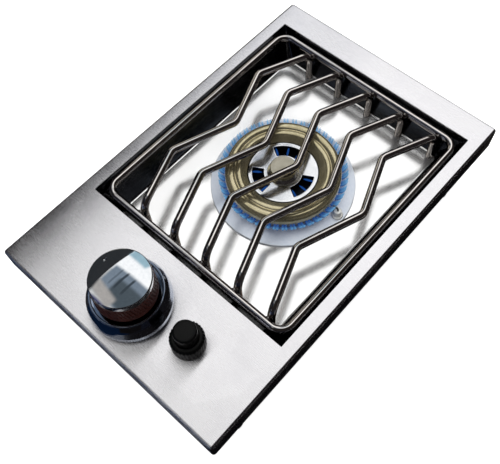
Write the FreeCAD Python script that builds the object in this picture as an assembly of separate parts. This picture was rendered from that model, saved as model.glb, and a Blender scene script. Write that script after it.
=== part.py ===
import FreeCAD, Part
import math
import os

from FreeCAD import Vector

# Drop-in gas side burner. Millimetres, +X right, +Y to the back, +Z up.
# The origin is the centre of the burner box's underside.

# Overall size and sheet metal
plate_width = 305.0
plate_depth = 472.0
overall_height = 110.0
plate_sheet = 1.2
edge_drop = 30.0
edge_return = 10.0
edge_bend = 2.0

# Cut-out for the cooking recess, and the polished pan that hangs in it
side_band = 16.5
rear_band = 34.5
control_band = 115.5
pan_sheet = 0.8
pan_drop = 38.0
pan_side_slope = 21.5
pan_end_slope = 14.7
pan_corner = 9.0
pan_top_corner = 1.0
pan_rim = 6.0

# Grate: one rod loop and five zigzag rods with a leg at both ends
rod_diameter = 9.0
rail_drop = 5.0
rail_corner = 15.0
rod_rise = 2.0
rod_count = 5
rod_side_gap = 36.0
zigzag_offset = 14.0
front_kink = -69.5
middle_kink = 6.8
rear_kink = 77.9
kink_bend = 12.0
leg_bend = 13.0

# Trim ring on the pan floor. Each step is outwards from the piece before it.
trim_sheet = 0.8
trim_edge_height = 1.8
trim_seat_height = 4.7
trim_bore_step = 1.5
trim_seat_step = 1.0
trim_edge_step = 8.6

# Burner bowl under the pan floor
bowl_radius = 49.5
bowl_wall = 3.5
bowl_depth = 32.0
bowl_flange_width = 7.5
post_radius = 7.0
bowl_screw_step = 3.9
bowl_screw_count = 3

# Burner head: notched port ring, brass ring and the crown inside it
port_ring_step = 3.0
port_ring_wall = 8.0
port_ring_height = 9.0
port_count = 45
port_width = 2.4
port_height = 5.5
brass_overhang = 4.2
brass_height = 15.9
brass_foot_round = 6.0
brass_bead_round = 6.2
brass_bead_step = 3.3
brass_inner_round = 5.5
groove_step = 2.7
groove_depth = 2.8
groove_round = 1.2
inner_bead_step = 2.0
inner_bead_width = 3.6
inner_bead_drop = 1.0
inner_bead_round = 3.8
brass_cone_width = 8.0
brass_web_height = 3.6
crown_gap = 2.0
crown_wall = 3.2
crown_floor = 1.5
crown_hole_count = 12
crown_hole = 2.4
crown_hole_step = 4.2

# Middle of the burner, clamped down by one bolt
disc_gap = 1.3
disc_sheet = 1.2
disc_height = 21.6
window_count = 3
window_inner = 22.0
window_step = 0.3
window_angle = 60.0
hub_radius = 19.0
hub_top_radius = 14.0
hub_height = 4.2
hub_round = 3.0
cap_radius = 15.0
cap_height = 6.0
cap_round = 1.0
cap_bolt = 2.5
cap_bolt_length = 26.0

# Spark electrode beside the burner
electrode_gap = 13.4
electrode_offset = 6.0
ceramic_radius = 4.4
ceramic_collar = 6.4
ceramic_top = 13.0
ceramic_tail = 14.0
ceramic_round = 1.0
spark_pin = 1.1
spark_pin_rise = 3.5
spark_tip_reach = 6.5
spark_tip_rise = 0.5
spark_bend = 3.0
clip_radius = 11.0

# Control knob
knob_x = -8.0
knob_front_gap = 51.5
knob_top = 59.1
knob_cap_radius = 31.0
knob_cap_depth = 7.5
knob_cap_round = 1.6
knob_cap_bulge = 2.4
knob_dome_round = 180.0
knob_neck_radius = 31.6
knob_skirt_radius = 32.4
knob_skirt_height = 29.0
knob_skirt_band = 3.0
knob_wall = 3.0
knob_hub = 8.5
rib_count = 56
rib_groove = 1.4
rib_depth = 0.9
knob_travel = 4.0
dimple_reach = 24.7
dimple_angle = 172.0
dimple_radius = 2.3
dimple_depth = 0.1
insert_radius = 6.2

# Valve stem with its return spring
stem_radius = 4.0
stem_flat = 1.2
stem_top = 46.0
stem_collar = 5.6
stem_collar_height = 1.2
spring_outer = 6.6
spring_wall = 1.0
spring_height = 11.5
washer_sheet = 1.2

# Chrome bezel under the knob
bezel_base = 43.0
bezel_bulge = 43.6
bezel_bulge_height = 8.0
bezel_bulge_round = 6.0
bezel_shoulder = 41.6
bezel_shoulder_height = 20.0
bezel_shoulder_round = 12.0
bezel_crest = 38.0
bezel_height = 27.5
bezel_crest_round = 1.2
bezel_well = 35.2
bezel_floor_height = 21.0
bezel_wall = 1.8
bezel_stem_hole = 11.0
bezel_boss = 4.5
bezel_boss_reach = 24.0
bezel_screw_grip = 11.0

# Gas valve and the bracket that holds it under the plate
gas_line_height = 54.0
valve_width = 26.0
valve_length = 30.0
valve_bottom = 40.0
valve_shoulder = 80.0
valve_chamfer = 2.6
bonnet_radius = 12.5
bonnet_top = 92.0
bonnet_screw_circle = 9.6
bonnet_screw_radius = 1.5
bonnet_screw_head = 2.2
bonnet_screw_length = 8.0
bracket_sheet = 1.5
bracket_span = 36.0
bracket_foot = 18.0
bracket_depth = 24.0

# Gas way: jet, outlet boss, spigot and pipe
jet_across_flats = 10.0
jet_hex_length = 7.5
jet_nozzle_length = 7.5
jet_nozzle = 3.2
jet_tip = 1.6
jet_bore = 0.5
outlet_boss = 7.0
outlet_boss_length = 8.0
spigot_radius = 4.0
spigot_length = 3.0
spigot_bore = 2.0
pipe_radius = 8.5
pipe_wall = 1.5
pipe_bend = 26.0
pipe_side_gap = 27.0
pipe_end_x = 12.0

# Mixing tube and its air shutter
tube_radius = 11.0
tube_wall = 1.6
bell_radius = 17.0
bell_length = 18.0
bell_cone_length = 9.0
bell_gap = 2.0
shutter_wall = 1.5
shutter_length = 13.0
shutter_window = 26.0
shutter_window_length = 8.0
shutter_screw = 2.0
shutter_screw_head = 3.4
shutter_screw_head_height = 3.0
socket_radius = 14.5
socket_length = 16.0
gas_way_reach = 20.0

# Gas inlet through the rear wall
inlet_thread = 7.94
inlet_shank = 9.0
inlet_flats = 24.0
inlet_bore = 4.6
inlet_socket = 11.5
inlet_socket_length = 19.0
inlet_socket_depth = 15.0
inlet_hex_length = 7.5
inlet_nose = 1.5
inlet_reach = 13.4
locknut_length = 3.0

# Igniter: module, cell, collar and button
igniter_x = 66.5
igniter_front_gap = 58.4
collar_radius = 17.6
collar_height = 21.0
collar_round = 4.0
collar_rib_count = 30
collar_rib_depth = 0.6
collar_rib_band = 5.0
collar_lip = 2.6
button_radius = 11.8
button_height = 38.0
button_round = 2.2
button_groove_width = 0.9
button_groove_depth = 0.7
button_groove_rows = (5.5, 9.0)
button_flange = 12.5
button_flange_height = 2.6
button_travel = 3.5
plunger_radius = 8.0
plunger_length = 7.0
module_radius = 14.0
module_bottom = 50.0
module_neck = 12.4
module_neck_height = 11.5
module_flange = 17.5
module_flange_height = 3.8
module_wall = 1.6
cell_radius = 7.1
cell_length = 48.0
cell_nub_height = 1.2
contact_spring_radius = 2.6
contact_spring_wall = 0.9

# Burner box under the plate, its tray and the heat shield
box_side_gap = 2.3
box_sheet = 1.0
box_lip = 10.0
tray_rise = 12.0
vent_length = 34.0
vent_height = 5.0
vent_pitch = 52.0
vent_rows = (24.0, 36.0)
side_vent_count = 6
tray_vent_length = 68.0
tray_vent_pitch = 26.0
tray_vent_count = 5
shield_gap = 9.5
shield_sheet = 1.0
shield_top_gap = 14.0
shield_foot_depth = 10.0

# Fasteners, and the ignition lead with its clips
stud_radius = 2.0
stud_length = 7.0
stud_edge = 3.8
nut_flats = 7.0
nut_length = 3.2
stud_row_count = 4
stud_end_gap = 32.5
screw_radius = 1.9
screw_head = 3.4
screw_head_height = 1.8
tray_screw_length = 4.0
tray_screw_height = 8.4
lead_radius = 1.7
lead_height = 4.0
lead_front_bend = 20.0
lead_rear_bend = 22.0
lead_turn_bend = 60.0
lead_turn_gap = 70.0
lead_rear_gap = 48.5
lead_clip_width = 8.0
lead_clip_gaps = (16.0, 58.0)

# Clearances
running_clearance = 0.08
moving_clearance = 0.35
seat_clearance = 0.05
rail_clearance = 0.3
foot_clearance = 0.3

# Levels and places worked out from the sizes above
plate_top = overall_height
plate_under = plate_top - plate_sheet
edge_bottom = plate_top - edge_drop
plate_front = -plate_depth / 2
opening_y = (control_band - rear_band) / 2
half_open_x = plate_width / 2 - side_band
half_open_y = (plate_depth - control_band - rear_band) / 2
floor_z = plate_top - pan_drop
floor_half_x = half_open_x - pan_side_slope
floor_half_y = half_open_y - pan_end_slope
wall_rise = plate_under - floor_z
burner_x = 0.0
burner_y = opening_y
knob_y = plate_front + knob_front_gap
igniter_y = plate_front + igniter_front_gap
rod_radius = rod_diameter / 2
rail_z = plate_top - rail_drop
rod_z = plate_top + rod_rise
wall_lean = math.atan2(pan_side_slope, wall_rise)
rail_wall_x = half_open_x - (plate_under - rail_z) * math.tan(wall_lean)
rail_half_x = rail_wall_x - (rod_radius + rail_clearance) / math.cos(wall_lean)
leg_half_y = floor_half_y - rod_radius - foot_clearance
rail_half_y = leg_half_y + rod_diameter + seat_clearance
rod_pitch = 2 * (rail_half_x - rod_side_gap) / (rod_count - 1)
bowl_flange_radius = bowl_radius + bowl_flange_width
bowl_screw_circle = bowl_radius + bowl_screw_step
trim_bore = bowl_radius + trim_bore_step
trim_seat_radius = bowl_flange_radius + trim_seat_step
port_ring_inner = trim_bore + port_ring_step
port_ring_outer = port_ring_inner + port_ring_wall
brass_outer = port_ring_outer + brass_overhang
brass_bead_inner = port_ring_inner + brass_bead_step
groove_radius = brass_bead_inner - groove_step
inner_bead_outer = groove_radius - inner_bead_step
inner_bead_inner = inner_bead_outer - inner_bead_width
brass_bore = inner_bead_inner - brass_cone_width
disc_radius = brass_bore - disc_gap
crown_outer = brass_bore - crown_gap
crown_hole_circle = crown_outer + crown_hole_step
window_outer = crown_outer - crown_wall - window_step
electrode_x = burner_x + port_ring_outer + electrode_gap
electrode_y = burner_y + electrode_offset
trim_radius = electrode_x - burner_x + trim_edge_step
box_half_x = plate_width / 2 - plate_sheet - edge_return - box_side_gap
box_half_y = plate_depth / 2 - plate_sheet - edge_return - box_side_gap
box_inner_x = box_half_x - box_sheet
box_inner_y = box_half_y - box_sheet
lip_top = plate_under - pan_sheet
seat_z = floor_z + trim_seat_height
head_z = seat_z + trim_sheet
ring_seat_z = head_z + port_ring_height
disc_z = floor_z + disc_height
hub_z = disc_z + disc_sheet
cap_z = hub_z + hub_height
knob_seat_z = plate_top + knob_skirt_height
web_z = bonnet_top + bracket_sheet
washer_z = web_z + spring_height
foot_z = plate_under - bracket_sheet
pipe_run_x = pipe_side_gap - box_half_x
bell_front = knob_y + valve_length / 2 + outlet_boss_length + bell_gap
shield_y = opening_y - half_open_y - shield_gap
stud_reach = box_half_y - stud_end_gap
stud_pitch = 2 * stud_reach / (stud_row_count - 1)


def box(x0, x1, y0, y1, z0, z1):
    return Part.makeBox(x1 - x0, y1 - y0, z1 - z0, Vector(x0, y0, z0))


def centred_box(x, y, half_x, half_y, z0, z1):
    return box(x - half_x, x + half_x, y - half_y, y + half_y, z0, z1)


def cylinder(x, y, z0, z1, radius):
    return Part.makeCylinder(radius, z1 - z0, Vector(x, y, z0))


def cylinder_y(x, z, y0, y1, radius):
    return Part.makeCylinder(radius, y1 - y0, Vector(x, y0, z), Vector(0, 1, 0))


def ring(x, y, z0, z1, outer, inner):
    return cylinder(x, y, z0, z1, outer).cut(cylinder(x, y, z0, z1, inner))


def hexagon(centre, direction, across_flats, length):
    """A hexagonal bar that starts at centre and runs along direction."""
    start = Vector(*centre)
    way = Vector(*direction)
    side = Vector(1, 0, 0) if abs(way.x) < 0.5 else Vector(0, 1, 0)
    other = way.cross(side)
    reach = across_flats / math.sqrt(3)
    corners = []
    for step in range(7):
        angle = math.radians(60 * step)
        corners.append(start + side * (reach * math.cos(angle)) + other * (reach * math.sin(angle)))
    return Part.Face(Part.makePolygon(corners)).extrude(way * length)


def rounded_wire(corners):
    """A closed wire through corners, each (point, radius), with a tangent arc where radius isn't 0."""
    starts, arcs, ends = [], [], []
    for index, (point, radius) in enumerate(corners):
        if radius == 0:
            starts.append(point)
            arcs.append(None)
            ends.append(point)
            continue
        before = (corners[index - 1][0] - point).normalize()
        after = (corners[(index + 1) % len(corners)][0] - point).normalize()
        half = before.getAngle(after) / 2
        inward = (before + after).normalize()
        starts.append(point + before * (radius / math.tan(half)))
        arcs.append(point + inward * (radius / math.sin(half) - radius))
        ends.append(point + after * (radius / math.tan(half)))
    edges = []
    for index, middle in enumerate(arcs):
        if middle:
            edges.append(Part.Arc(starts[index], middle, ends[index]).toShape())
        edges.append(Part.LineSegment(ends[index], starts[(index + 1) % len(corners)]).toShape())
    return Part.Wire(edges)


def turned(x, y, steps):
    """A solid turned about the vertical axis at (x, y). Each step is (radius, height, rounding)."""
    corners = []
    for step in steps:
        rounding = step[2] if len(step) == 3 else 0
        corners.append((Vector(step[0], 0, step[1]), rounding))
    solid = Part.Face(rounded_wire(corners)).revolve(Vector(0, 0, 0), Vector(0, 0, 1), 360)
    solid.translate(Vector(x, y, 0))
    return solid


def rounded_outline(x, y, half_x, half_y, corner, z):
    """A rectangle with rounded corners, as one closed wire."""
    signs = [(-1, -1), (1, -1), (1, 1), (-1, 1)]
    return rounded_wire([(Vector(x + a * half_x, y + b * half_y, z), corner) for a, b in signs])


def tapered_block(x, y, low_size, high_size, z0, z1):
    """A block whose rounded outline grows from low_size to high_size, each (half x, half y, corner)."""
    low = rounded_outline(x, y, *low_size, z0)
    high = rounded_outline(x, y, *high_size, z1)
    return Part.makeLoft([low, high], True, True)


def bent_bar(points, bends, radius):
    """A round bar along straight runs, with an arc of the given radius at each inner point."""
    corners = [Vector(*point) for point in points]
    edges = []
    here = corners[0]
    for index in range(1, len(corners) - 1):
        before = (corners[index - 1] - corners[index]).normalize()
        after = (corners[index + 1] - corners[index]).normalize()
        half = before.getAngle(after) / 2
        set_back = bends[index - 1] / math.tan(half)
        start = corners[index] + before * set_back
        end = corners[index] + after * set_back
        inward = (before + after).normalize()
        middle = corners[index] + inward * (bends[index - 1] / math.sin(half) - bends[index - 1])
        edges.append(Part.LineSegment(here, start).toShape())
        edges.append(Part.Arc(start, middle, end).toShape())
        here = end
    edges.append(Part.LineSegment(here, corners[-1]).toShape())
    path = Part.Wire(edges)
    way = (corners[1] - corners[0]).normalize()
    section = Part.Wire(Part.Circle(corners[0], way, radius).toShape())
    return path.makePipeShell([section], True, False)


def around(count, start_angle=0.0):
    return [math.radians(start_angle + 360.0 * index / count) for index in range(count)]


def group(solids):
    return Part.makeCompound(solids)


pieces = {}


def make_plate():
    half_x, half_y = plate_width / 2, plate_depth / 2
    outer = centred_box(0, 0, half_x, half_y, edge_bottom, plate_top)
    bent_edges = []
    for edge in outer.Edges:
        upright = edge.BoundBox.ZLength > 0
        at_top = edge.BoundBox.ZMin == plate_top
        if upright or at_top:
            bent_edges.append(edge)
    plate = outer.makeFillet(edge_bend, bent_edges)
    inner_x, inner_y = half_x - plate_sheet, half_y - plate_sheet
    screw_hole = screw_radius + seat_clearance
    plate = plate.cut([
        centred_box(0, 0, inner_x, inner_y, edge_bottom + plate_sheet, plate_under),
        centred_box(0, 0, inner_x - edge_return, inner_y - edge_return, edge_bottom, plate_under),
        centred_box(0, opening_y, half_open_x, half_open_y, edge_bottom, plate_top),
        cylinder(knob_x, knob_y, plate_under, plate_top, bezel_stem_hole),
        cylinder(igniter_x, igniter_y, plate_under, plate_top, module_neck + moving_clearance),
        cylinder(knob_x - bezel_boss_reach, knob_y, plate_under, plate_top, screw_hole),
        cylinder(knob_x + bezel_boss_reach, knob_y, plate_under, plate_top, screw_hole),
    ])
    pieces["top_flange"] = plate


def make_pan():
    low_in = (floor_half_x, floor_half_y, pan_corner)
    high_in = (half_open_x, half_open_y, pan_top_corner)
    low_out = (floor_half_x + pan_sheet, floor_half_y + pan_sheet, pan_corner + pan_sheet)
    high_out = (half_open_x + pan_sheet, half_open_y + pan_sheet, pan_top_corner + pan_sheet)
    pan_under = floor_z - pan_sheet
    shell = tapered_block(0, opening_y, low_out, high_out, pan_under, plate_under)
    rim = centred_box(0, opening_y, half_open_x + pan_rim, half_open_y + pan_rim, lip_top, plate_under)
    cuts = [
        tapered_block(0, opening_y, low_in, high_in, floor_z, plate_under),
        cylinder(burner_x, burner_y, pan_under, floor_z, bowl_radius + seat_clearance),
        cylinder(electrode_x, electrode_y, pan_under, floor_z, ceramic_radius + seat_clearance),
    ]
    for x, y in bowl_screw_places():
        cuts.append(cylinder(x, y, pan_under, floor_z, screw_radius + seat_clearance))
    pieces["recess_pan"] = shell.fuse(rim).cut(cuts)


def make_grate():
    path = rounded_outline(0, opening_y, rail_half_x, rail_half_y, rail_corner, rail_z)
    start = Vector(-rail_half_x, opening_y - rail_half_y + rail_corner, rail_z)
    section = Part.Wire(Part.Circle(start, Vector(0, 1, 0), rod_radius).toShape())
    pieces["grate_rail"] = path.makePipeShell([section], True, False)
    front = opening_y - leg_half_y
    rear = opening_y + leg_half_y
    for index in range(rod_count):
        x = (index - (rod_count - 1) / 2) * rod_pitch
        left, right = x - zigzag_offset, x + zigzag_offset
        points = [
            (right, front, floor_z),
            (right, front, rod_z),
            (left, opening_y + front_kink, rod_z),
            (right, opening_y + middle_kink, rod_z),
            (left, opening_y + rear_kink, rod_z),
            (right, rear, rod_z),
            (right, rear, floor_z),
        ]
        bends = [leg_bend, kink_bend, kink_bend, kink_bend, leg_bend]
        pieces[f"grate_rod_{index + 1}"] = bent_bar(points, bends, rod_radius)


def make_trim_ring():
    edge_z = floor_z + trim_edge_height
    inner_edge = trim_radius - trim_sheet
    trim = turned(burner_x, burner_y, [
        (trim_radius, floor_z),
        (trim_radius, edge_z + trim_sheet, trim_sheet),
        (trim_seat_radius, head_z),
        (trim_bore, head_z),
        (trim_bore, seat_z),
        (trim_seat_radius, seat_z),
        (inner_edge, edge_z),
        (inner_edge, floor_z),
    ])
    hole = ceramic_collar + moving_clearance
    pieces["trim_ring"] = trim.cut(cylinder(electrode_x, electrode_y, floor_z, head_z, hole))


def bowl_screw_places():
    places = []
    for angle in around(bowl_screw_count, 90):
        places.append((burner_x + bowl_screw_circle * math.cos(angle),
                       burner_y + bowl_screw_circle * math.sin(angle)))
    return places


def make_bowl():
    bottom = floor_z - bowl_depth
    inner = bowl_radius - bowl_wall
    bowl = turned(burner_x, burner_y, [
        (0, bottom),
        (bowl_radius, bottom, bowl_wall),
        (bowl_radius, floor_z),
        (bowl_flange_radius, floor_z),
        (bowl_flange_radius, seat_z),
        (inner, seat_z),
        (inner, bottom + bowl_wall, bowl_wall),
        (post_radius, bottom + bowl_wall),
        (post_radius, disc_z),
        (0, disc_z),
    ])
    socket_front = burner_y - bowl_radius - socket_length
    socket = cylinder_y(knob_x, gas_line_height, socket_front, burner_y, socket_radius)
    inside = cylinder(burner_x, burner_y, floor_z - 2 * bowl_depth, disc_z, inner)
    bowl = bowl.fuse(socket.cut(inside))
    tube_seat = cylinder_y(knob_x, gas_line_height, socket_front, burner_y - bowl_radius,
                           tube_radius + seat_clearance)
    gas_way = cylinder_y(knob_x, gas_line_height, socket_front, burner_y - gas_way_reach,
                         tube_radius - tube_wall)
    bowl = bowl.cut(tube_seat).cut(gas_way)
    bolt_end = cap_z - cap_bolt_length - seat_clearance
    bowl = bowl.cut(cylinder(burner_x, burner_y, bolt_end, disc_z, cap_bolt + seat_clearance))
    pan_under = floor_z - pan_sheet
    tip = seat_z - plate_sheet
    screws = []
    for x, y in bowl_screw_places():
        bowl = bowl.cut(cylinder(x, y, floor_z, tip, screw_radius + seat_clearance))
        head = cylinder(x, y, pan_under - screw_head_height, pan_under, screw_head)
        screws.append(head.fuse(cylinder(x, y, pan_under, tip, screw_radius)))
    pieces["burner_bowl"] = bowl
    pieces["bowl_screws"] = group(screws)


def make_port_ring():
    port_ring = ring(burner_x, burner_y, head_z, ring_seat_z, port_ring_outer, port_ring_inner)
    centre = Vector(burner_x, burner_y, 0)
    ports = []
    for angle in around(port_count):
        port = box(burner_x + port_ring_inner - port_width, burner_x + port_ring_outer + port_width,
                   burner_y - port_width / 2, burner_y + port_width / 2,
                   ring_seat_z - port_height, ring_seat_z)
        port.rotate(centre, Vector(0, 0, 1), math.degrees(angle))
        ports.append(port)
    pieces["port_ring"] = port_ring.cut(ports)


def make_brass_ring():
    top = ring_seat_z + brass_height
    inner_bead_z = top - inner_bead_drop
    web_z = ring_seat_z + brass_web_height
    pieces["brass_burner_ring"] = turned(burner_x, burner_y, [
        (port_ring_inner, ring_seat_z),
        (brass_outer, ring_seat_z, brass_foot_round),
        (brass_outer, top, brass_bead_round),
        (brass_bead_inner, top, brass_inner_round),
        (groove_radius, top - groove_depth, groove_round),
        (inner_bead_outer, inner_bead_z, inner_bead_round),
        (inner_bead_inner, inner_bead_z, inner_bead_round),
        (brass_bore, hub_z),
        (brass_bore, web_z),
        (port_ring_inner, web_z),
    ])


def make_crown():
    bore = crown_outer - crown_wall
    reach = port_ring_inner - moving_clearance
    floor_top = head_z + crown_floor
    hub_bore = post_radius + seat_clearance
    crown = turned(burner_x, burner_y, [
        (hub_bore, head_z),
        (reach, head_z),
        (reach, floor_top),
        (crown_outer, floor_top),
        (crown_outer, disc_z),
        (bore, disc_z),
        (bore, floor_top),
        (hub_bore, floor_top),
    ])
    holes = []
    for angle in around(crown_hole_count):
        x = burner_x + crown_hole_circle * math.cos(angle)
        y = burner_y + crown_hole_circle * math.sin(angle)
        holes.append(cylinder(x, y, head_z, floor_top, crown_hole))
    pieces["inner_crown"] = crown.cut(holes)


def make_burner_middle():
    x, y = burner_x, burner_y
    bolt_hole = cap_bolt + seat_clearance
    disc = ring(x, y, disc_z, hub_z, disc_radius, bolt_hole)
    centre = Vector(x, y, 0)
    half = math.radians(window_angle / 2)
    reach = 2 * window_outer
    far_x, far_y = x + reach * math.cos(half), reach * math.sin(half)
    wedge = Part.Face(Part.makePolygon([
        Vector(x, y, disc_z),
        Vector(far_x, y - far_y, disc_z),
        Vector(far_x, y + far_y, disc_z),
        Vector(x, y, disc_z),
    ])).extrude(Vector(0, 0, disc_sheet))
    window = ring(x, y, disc_z, hub_z, window_outer, window_inner).common(wedge)
    windows = []
    for angle in around(window_count):
        turned_window = window.copy()
        turned_window.rotate(centre, Vector(0, 0, 1), math.degrees(angle))
        windows.append(turned_window)
    pieces["window_disc"] = disc.cut(windows)
    pieces["steel_hub"] = turned(x, y, [
        (bolt_hole, hub_z),
        (hub_radius, hub_z),
        (hub_top_radius, cap_z, hub_round),
        (bolt_hole, cap_z),
    ])
    pieces["centre_cap"] = turned(x, y, [
        (0, cap_z - cap_bolt_length),
        (cap_bolt, cap_z - cap_bolt_length),
        (cap_bolt, cap_z),
        (cap_radius, cap_z, cap_round),
        (cap_radius, cap_z + cap_height, cap_round),
        (0, cap_z + cap_height),
    ])


def make_electrode():
    x, y = electrode_x, electrode_y
    tail = floor_z - ceramic_tail
    top = floor_z + ceramic_top
    bore = spark_pin + seat_clearance
    pieces["spark_ceramic"] = turned(x, y, [
        (bore, tail),
        (ceramic_radius, tail),
        (ceramic_radius, floor_z),
        (ceramic_collar, floor_z),
        (ceramic_collar, seat_z, ceramic_round),
        (ceramic_radius, seat_z),
        (ceramic_radius, top, ceramic_round),
        (bore, top),
    ])
    pin_top = top + spark_pin_rise
    tip = (x - spark_tip_reach, y, pin_top + spark_tip_rise)
    pieces["spark_pin"] = bent_bar([(x, y, tail), (x, y, pin_top), tip], [spark_bend], spark_pin)
    pan_under = floor_z - pan_sheet
    pieces["electrode_clip"] = ring(x, y, pan_under - bracket_sheet, pan_under, clip_radius,
                                    ceramic_radius + seat_clearance)


def rib_grooves(x, y, z0, z1, radius, count, depth, width):
    """Upright round cutters in a circle. Each reaches depth below the given radius."""
    cutters = []
    for angle in around(count):
        reach = radius - depth + width
        cutters.append(cylinder(x + reach * math.cos(angle), y + reach * math.sin(angle), z0, z1, width))
    return cutters


def make_knob():
    x, y = knob_x, knob_y
    top = plate_top + knob_top
    cap_low = top - knob_cap_depth
    ceiling = cap_low - knob_wall
    bore = insert_radius + seat_clearance
    band_top = knob_seat_z + knob_skirt_band
    body = turned(x, y, [
        (bore, knob_seat_z),
        (knob_hub, knob_seat_z),
        (knob_hub, ceiling),
        (knob_neck_radius - knob_wall, ceiling),
        (knob_skirt_radius - knob_wall, knob_seat_z),
        (knob_skirt_radius, knob_seat_z),
        (knob_skirt_radius, band_top),
        (knob_neck_radius, cap_low),
        (bore, cap_low),
    ])
    cutters = rib_grooves(x, y, band_top, cap_low, knob_neck_radius, rib_count, rib_depth, rib_groove)
    pieces["knob_body"] = body.cut(cutters)

    cap = turned(x, y, [
        (0, cap_low),
        (knob_cap_radius, cap_low),
        (knob_cap_radius, top, knob_cap_round),
        (knob_cap_radius / 2, top + knob_cap_bulge, knob_dome_round),
        (0, top + knob_cap_bulge),
    ])
    turn = math.radians(dimple_angle)
    dimple_x = x + dimple_reach * math.cos(turn)
    dimple_y = y + dimple_reach * math.sin(turn)
    dimple = cylinder(dimple_x, dimple_y, top - dimple_depth, top + knob_cap_bulge, dimple_radius)
    pieces["knob_cap"] = cap.cut(dimple)

    stem_end = plate_top + stem_top
    stem_low = gas_line_height + stem_radius + knob_travel
    flat_x = x + stem_radius - stem_flat
    flat = box(flat_x, x + 2 * stem_radius, y - stem_radius, y + stem_radius, knob_seat_z, stem_end)
    stem = cylinder(x, y, stem_low, stem_end, stem_radius).cut(flat)
    collar_z = washer_z + washer_sheet + seat_clearance
    collar = cylinder(x, y, collar_z, collar_z + stem_collar_height, stem_collar)
    pieces["valve_stem"] = stem.fuse(collar)

    hole = cylinder(x, y, knob_seat_z, stem_end + seat_clearance, stem_radius + seat_clearance)
    key = box(flat_x + seat_clearance, x + 2 * stem_radius, y - 2 * stem_radius,
              y + 2 * stem_radius, knob_seat_z, cap_low)
    pieces["knob_insert"] = cylinder(x, y, knob_seat_z, cap_low, insert_radius).cut(hole.cut(key))

    washer_bore = stem_radius + running_clearance
    pieces["spring_washer"] = ring(x, y, washer_z, washer_z + washer_sheet, spring_outer, washer_bore)
    pieces["stem_spring"] = ring(x, y, web_z, washer_z, spring_outer, spring_outer - spring_wall)


def make_bezel():
    x, y = knob_x, knob_y
    z = plate_top
    crest = z + bezel_height
    well = z + bezel_floor_height
    bezel = turned(x, y, [
        (bezel_base, z),
        (bezel_bulge, z + bezel_bulge_height, bezel_bulge_round),
        (bezel_shoulder, z + bezel_shoulder_height, bezel_shoulder_round),
        (bezel_crest, crest, bezel_crest_round),
        (bezel_well, crest, bezel_crest_round),
        (bezel_well, well),
        (bezel_stem_hole, well),
        (bezel_stem_hole, well - bezel_wall),
        (bezel_well, well - bezel_wall),
        (bezel_bulge - bezel_wall, z + bezel_bulge_height),
        (bezel_base - bezel_wall, z),
    ])
    screws = []
    for side in (-1, 1):
        boss_x = x + side * bezel_boss_reach
        tip = z + bezel_screw_grip
        boss = cylinder(boss_x, y, z, well - bezel_wall, bezel_boss)
        bezel = bezel.fuse(boss).cut(cylinder(boss_x, y, z, tip, screw_radius + seat_clearance))
        head = cylinder(boss_x, y, foot_z - screw_head_height, foot_z, screw_head)
        screws.append(head.fuse(cylinder(boss_x, y, foot_z, tip, screw_radius)))
    pieces["knob_bezel"] = bezel
    pieces["bezel_screws"] = group(screws)


def make_valve():
    x, y, z = knob_x, knob_y, gas_line_height
    half_x, half_y = valve_width / 2, valve_length / 2
    block = centred_box(x, y, half_x, half_y, valve_bottom, valve_shoulder)
    block = block.makeChamfer(valve_chamfer, block.Edges)
    boss_end = y + half_y + outlet_boss_length
    spigot_end = y - half_y - spigot_length
    body = block.fuse(cylinder(x, y, z, bonnet_top, bonnet_radius))
    body = body.fuse(cylinder_y(x, z, y, boss_end, outlet_boss))
    body = body.fuse(cylinder_y(x, z, spigot_end, y, spigot_radius))
    stem_bore = cylinder(x, y, z + stem_radius, bonnet_top, stem_radius + running_clearance)
    body = body.cut(stem_bore).cut(cylinder_y(x, z, spigot_end, boss_end, spigot_bore))
    screws = []
    for side in (-1, 1):
        screw_y = y + side * bonnet_screw_circle
        low = web_z - bonnet_screw_length
        hole = bonnet_screw_radius + seat_clearance
        body = body.cut(cylinder(x, screw_y, low, bonnet_top, hole))
        head = cylinder(x, screw_y, web_z, web_z + bonnet_screw_radius, bonnet_screw_head)
        screws.append(head.fuse(cylinder(x, screw_y, low, web_z, bonnet_screw_radius)))
    pieces["gas_valve_body"] = body
    pieces["bonnet_screws"] = group(screws)

    hex_end = boss_end + jet_hex_length
    jet = hexagon((x, boss_end, z), (0, 1, 0), jet_across_flats, jet_hex_length)
    jet = jet.fuse(Part.makeCone(jet_nozzle, jet_tip, jet_nozzle_length, Vector(x, hex_end, z),
                                 Vector(0, 1, 0)))
    pieces["gas_jet"] = jet.cut(cylinder_y(x, z, boss_end, hex_end + jet_nozzle_length, jet_bore))


def make_valve_bracket():
    x, y = knob_x, knob_y
    outer = bracket_span / 2
    inner = outer - bracket_sheet
    foot_end = outer + bracket_foot
    outline = [
        (-foot_end, plate_under),
        (-inner, plate_under),
        (-inner, web_z),
        (inner, web_z),
        (inner, plate_under),
        (foot_end, plate_under),
        (foot_end, foot_z),
        (outer, foot_z),
        (outer, bonnet_top),
        (-outer, bonnet_top),
        (-outer, foot_z),
        (-foot_end, foot_z),
        (-foot_end, plate_under),
    ]
    corners = [Vector(x + across, y - bracket_depth / 2, height) for across, height in outline]
    bracket = Part.Face(Part.makePolygon(corners)).extrude(Vector(0, bracket_depth, 0))
    bracket = bracket.cut(cylinder(x, y, bonnet_top, web_z, stem_radius + moving_clearance))
    for side in (-1, 1):
        screw_hole = cylinder(x, y + side * bonnet_screw_circle, bonnet_top, web_z,
                              bonnet_screw_radius + seat_clearance)
        foot_hole = cylinder(x + side * bezel_boss_reach, y, foot_z, plate_under,
                             screw_radius + seat_clearance)
        bracket = bracket.cut([screw_hole, foot_hole])
    pieces["valve_bracket"] = bracket


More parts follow.
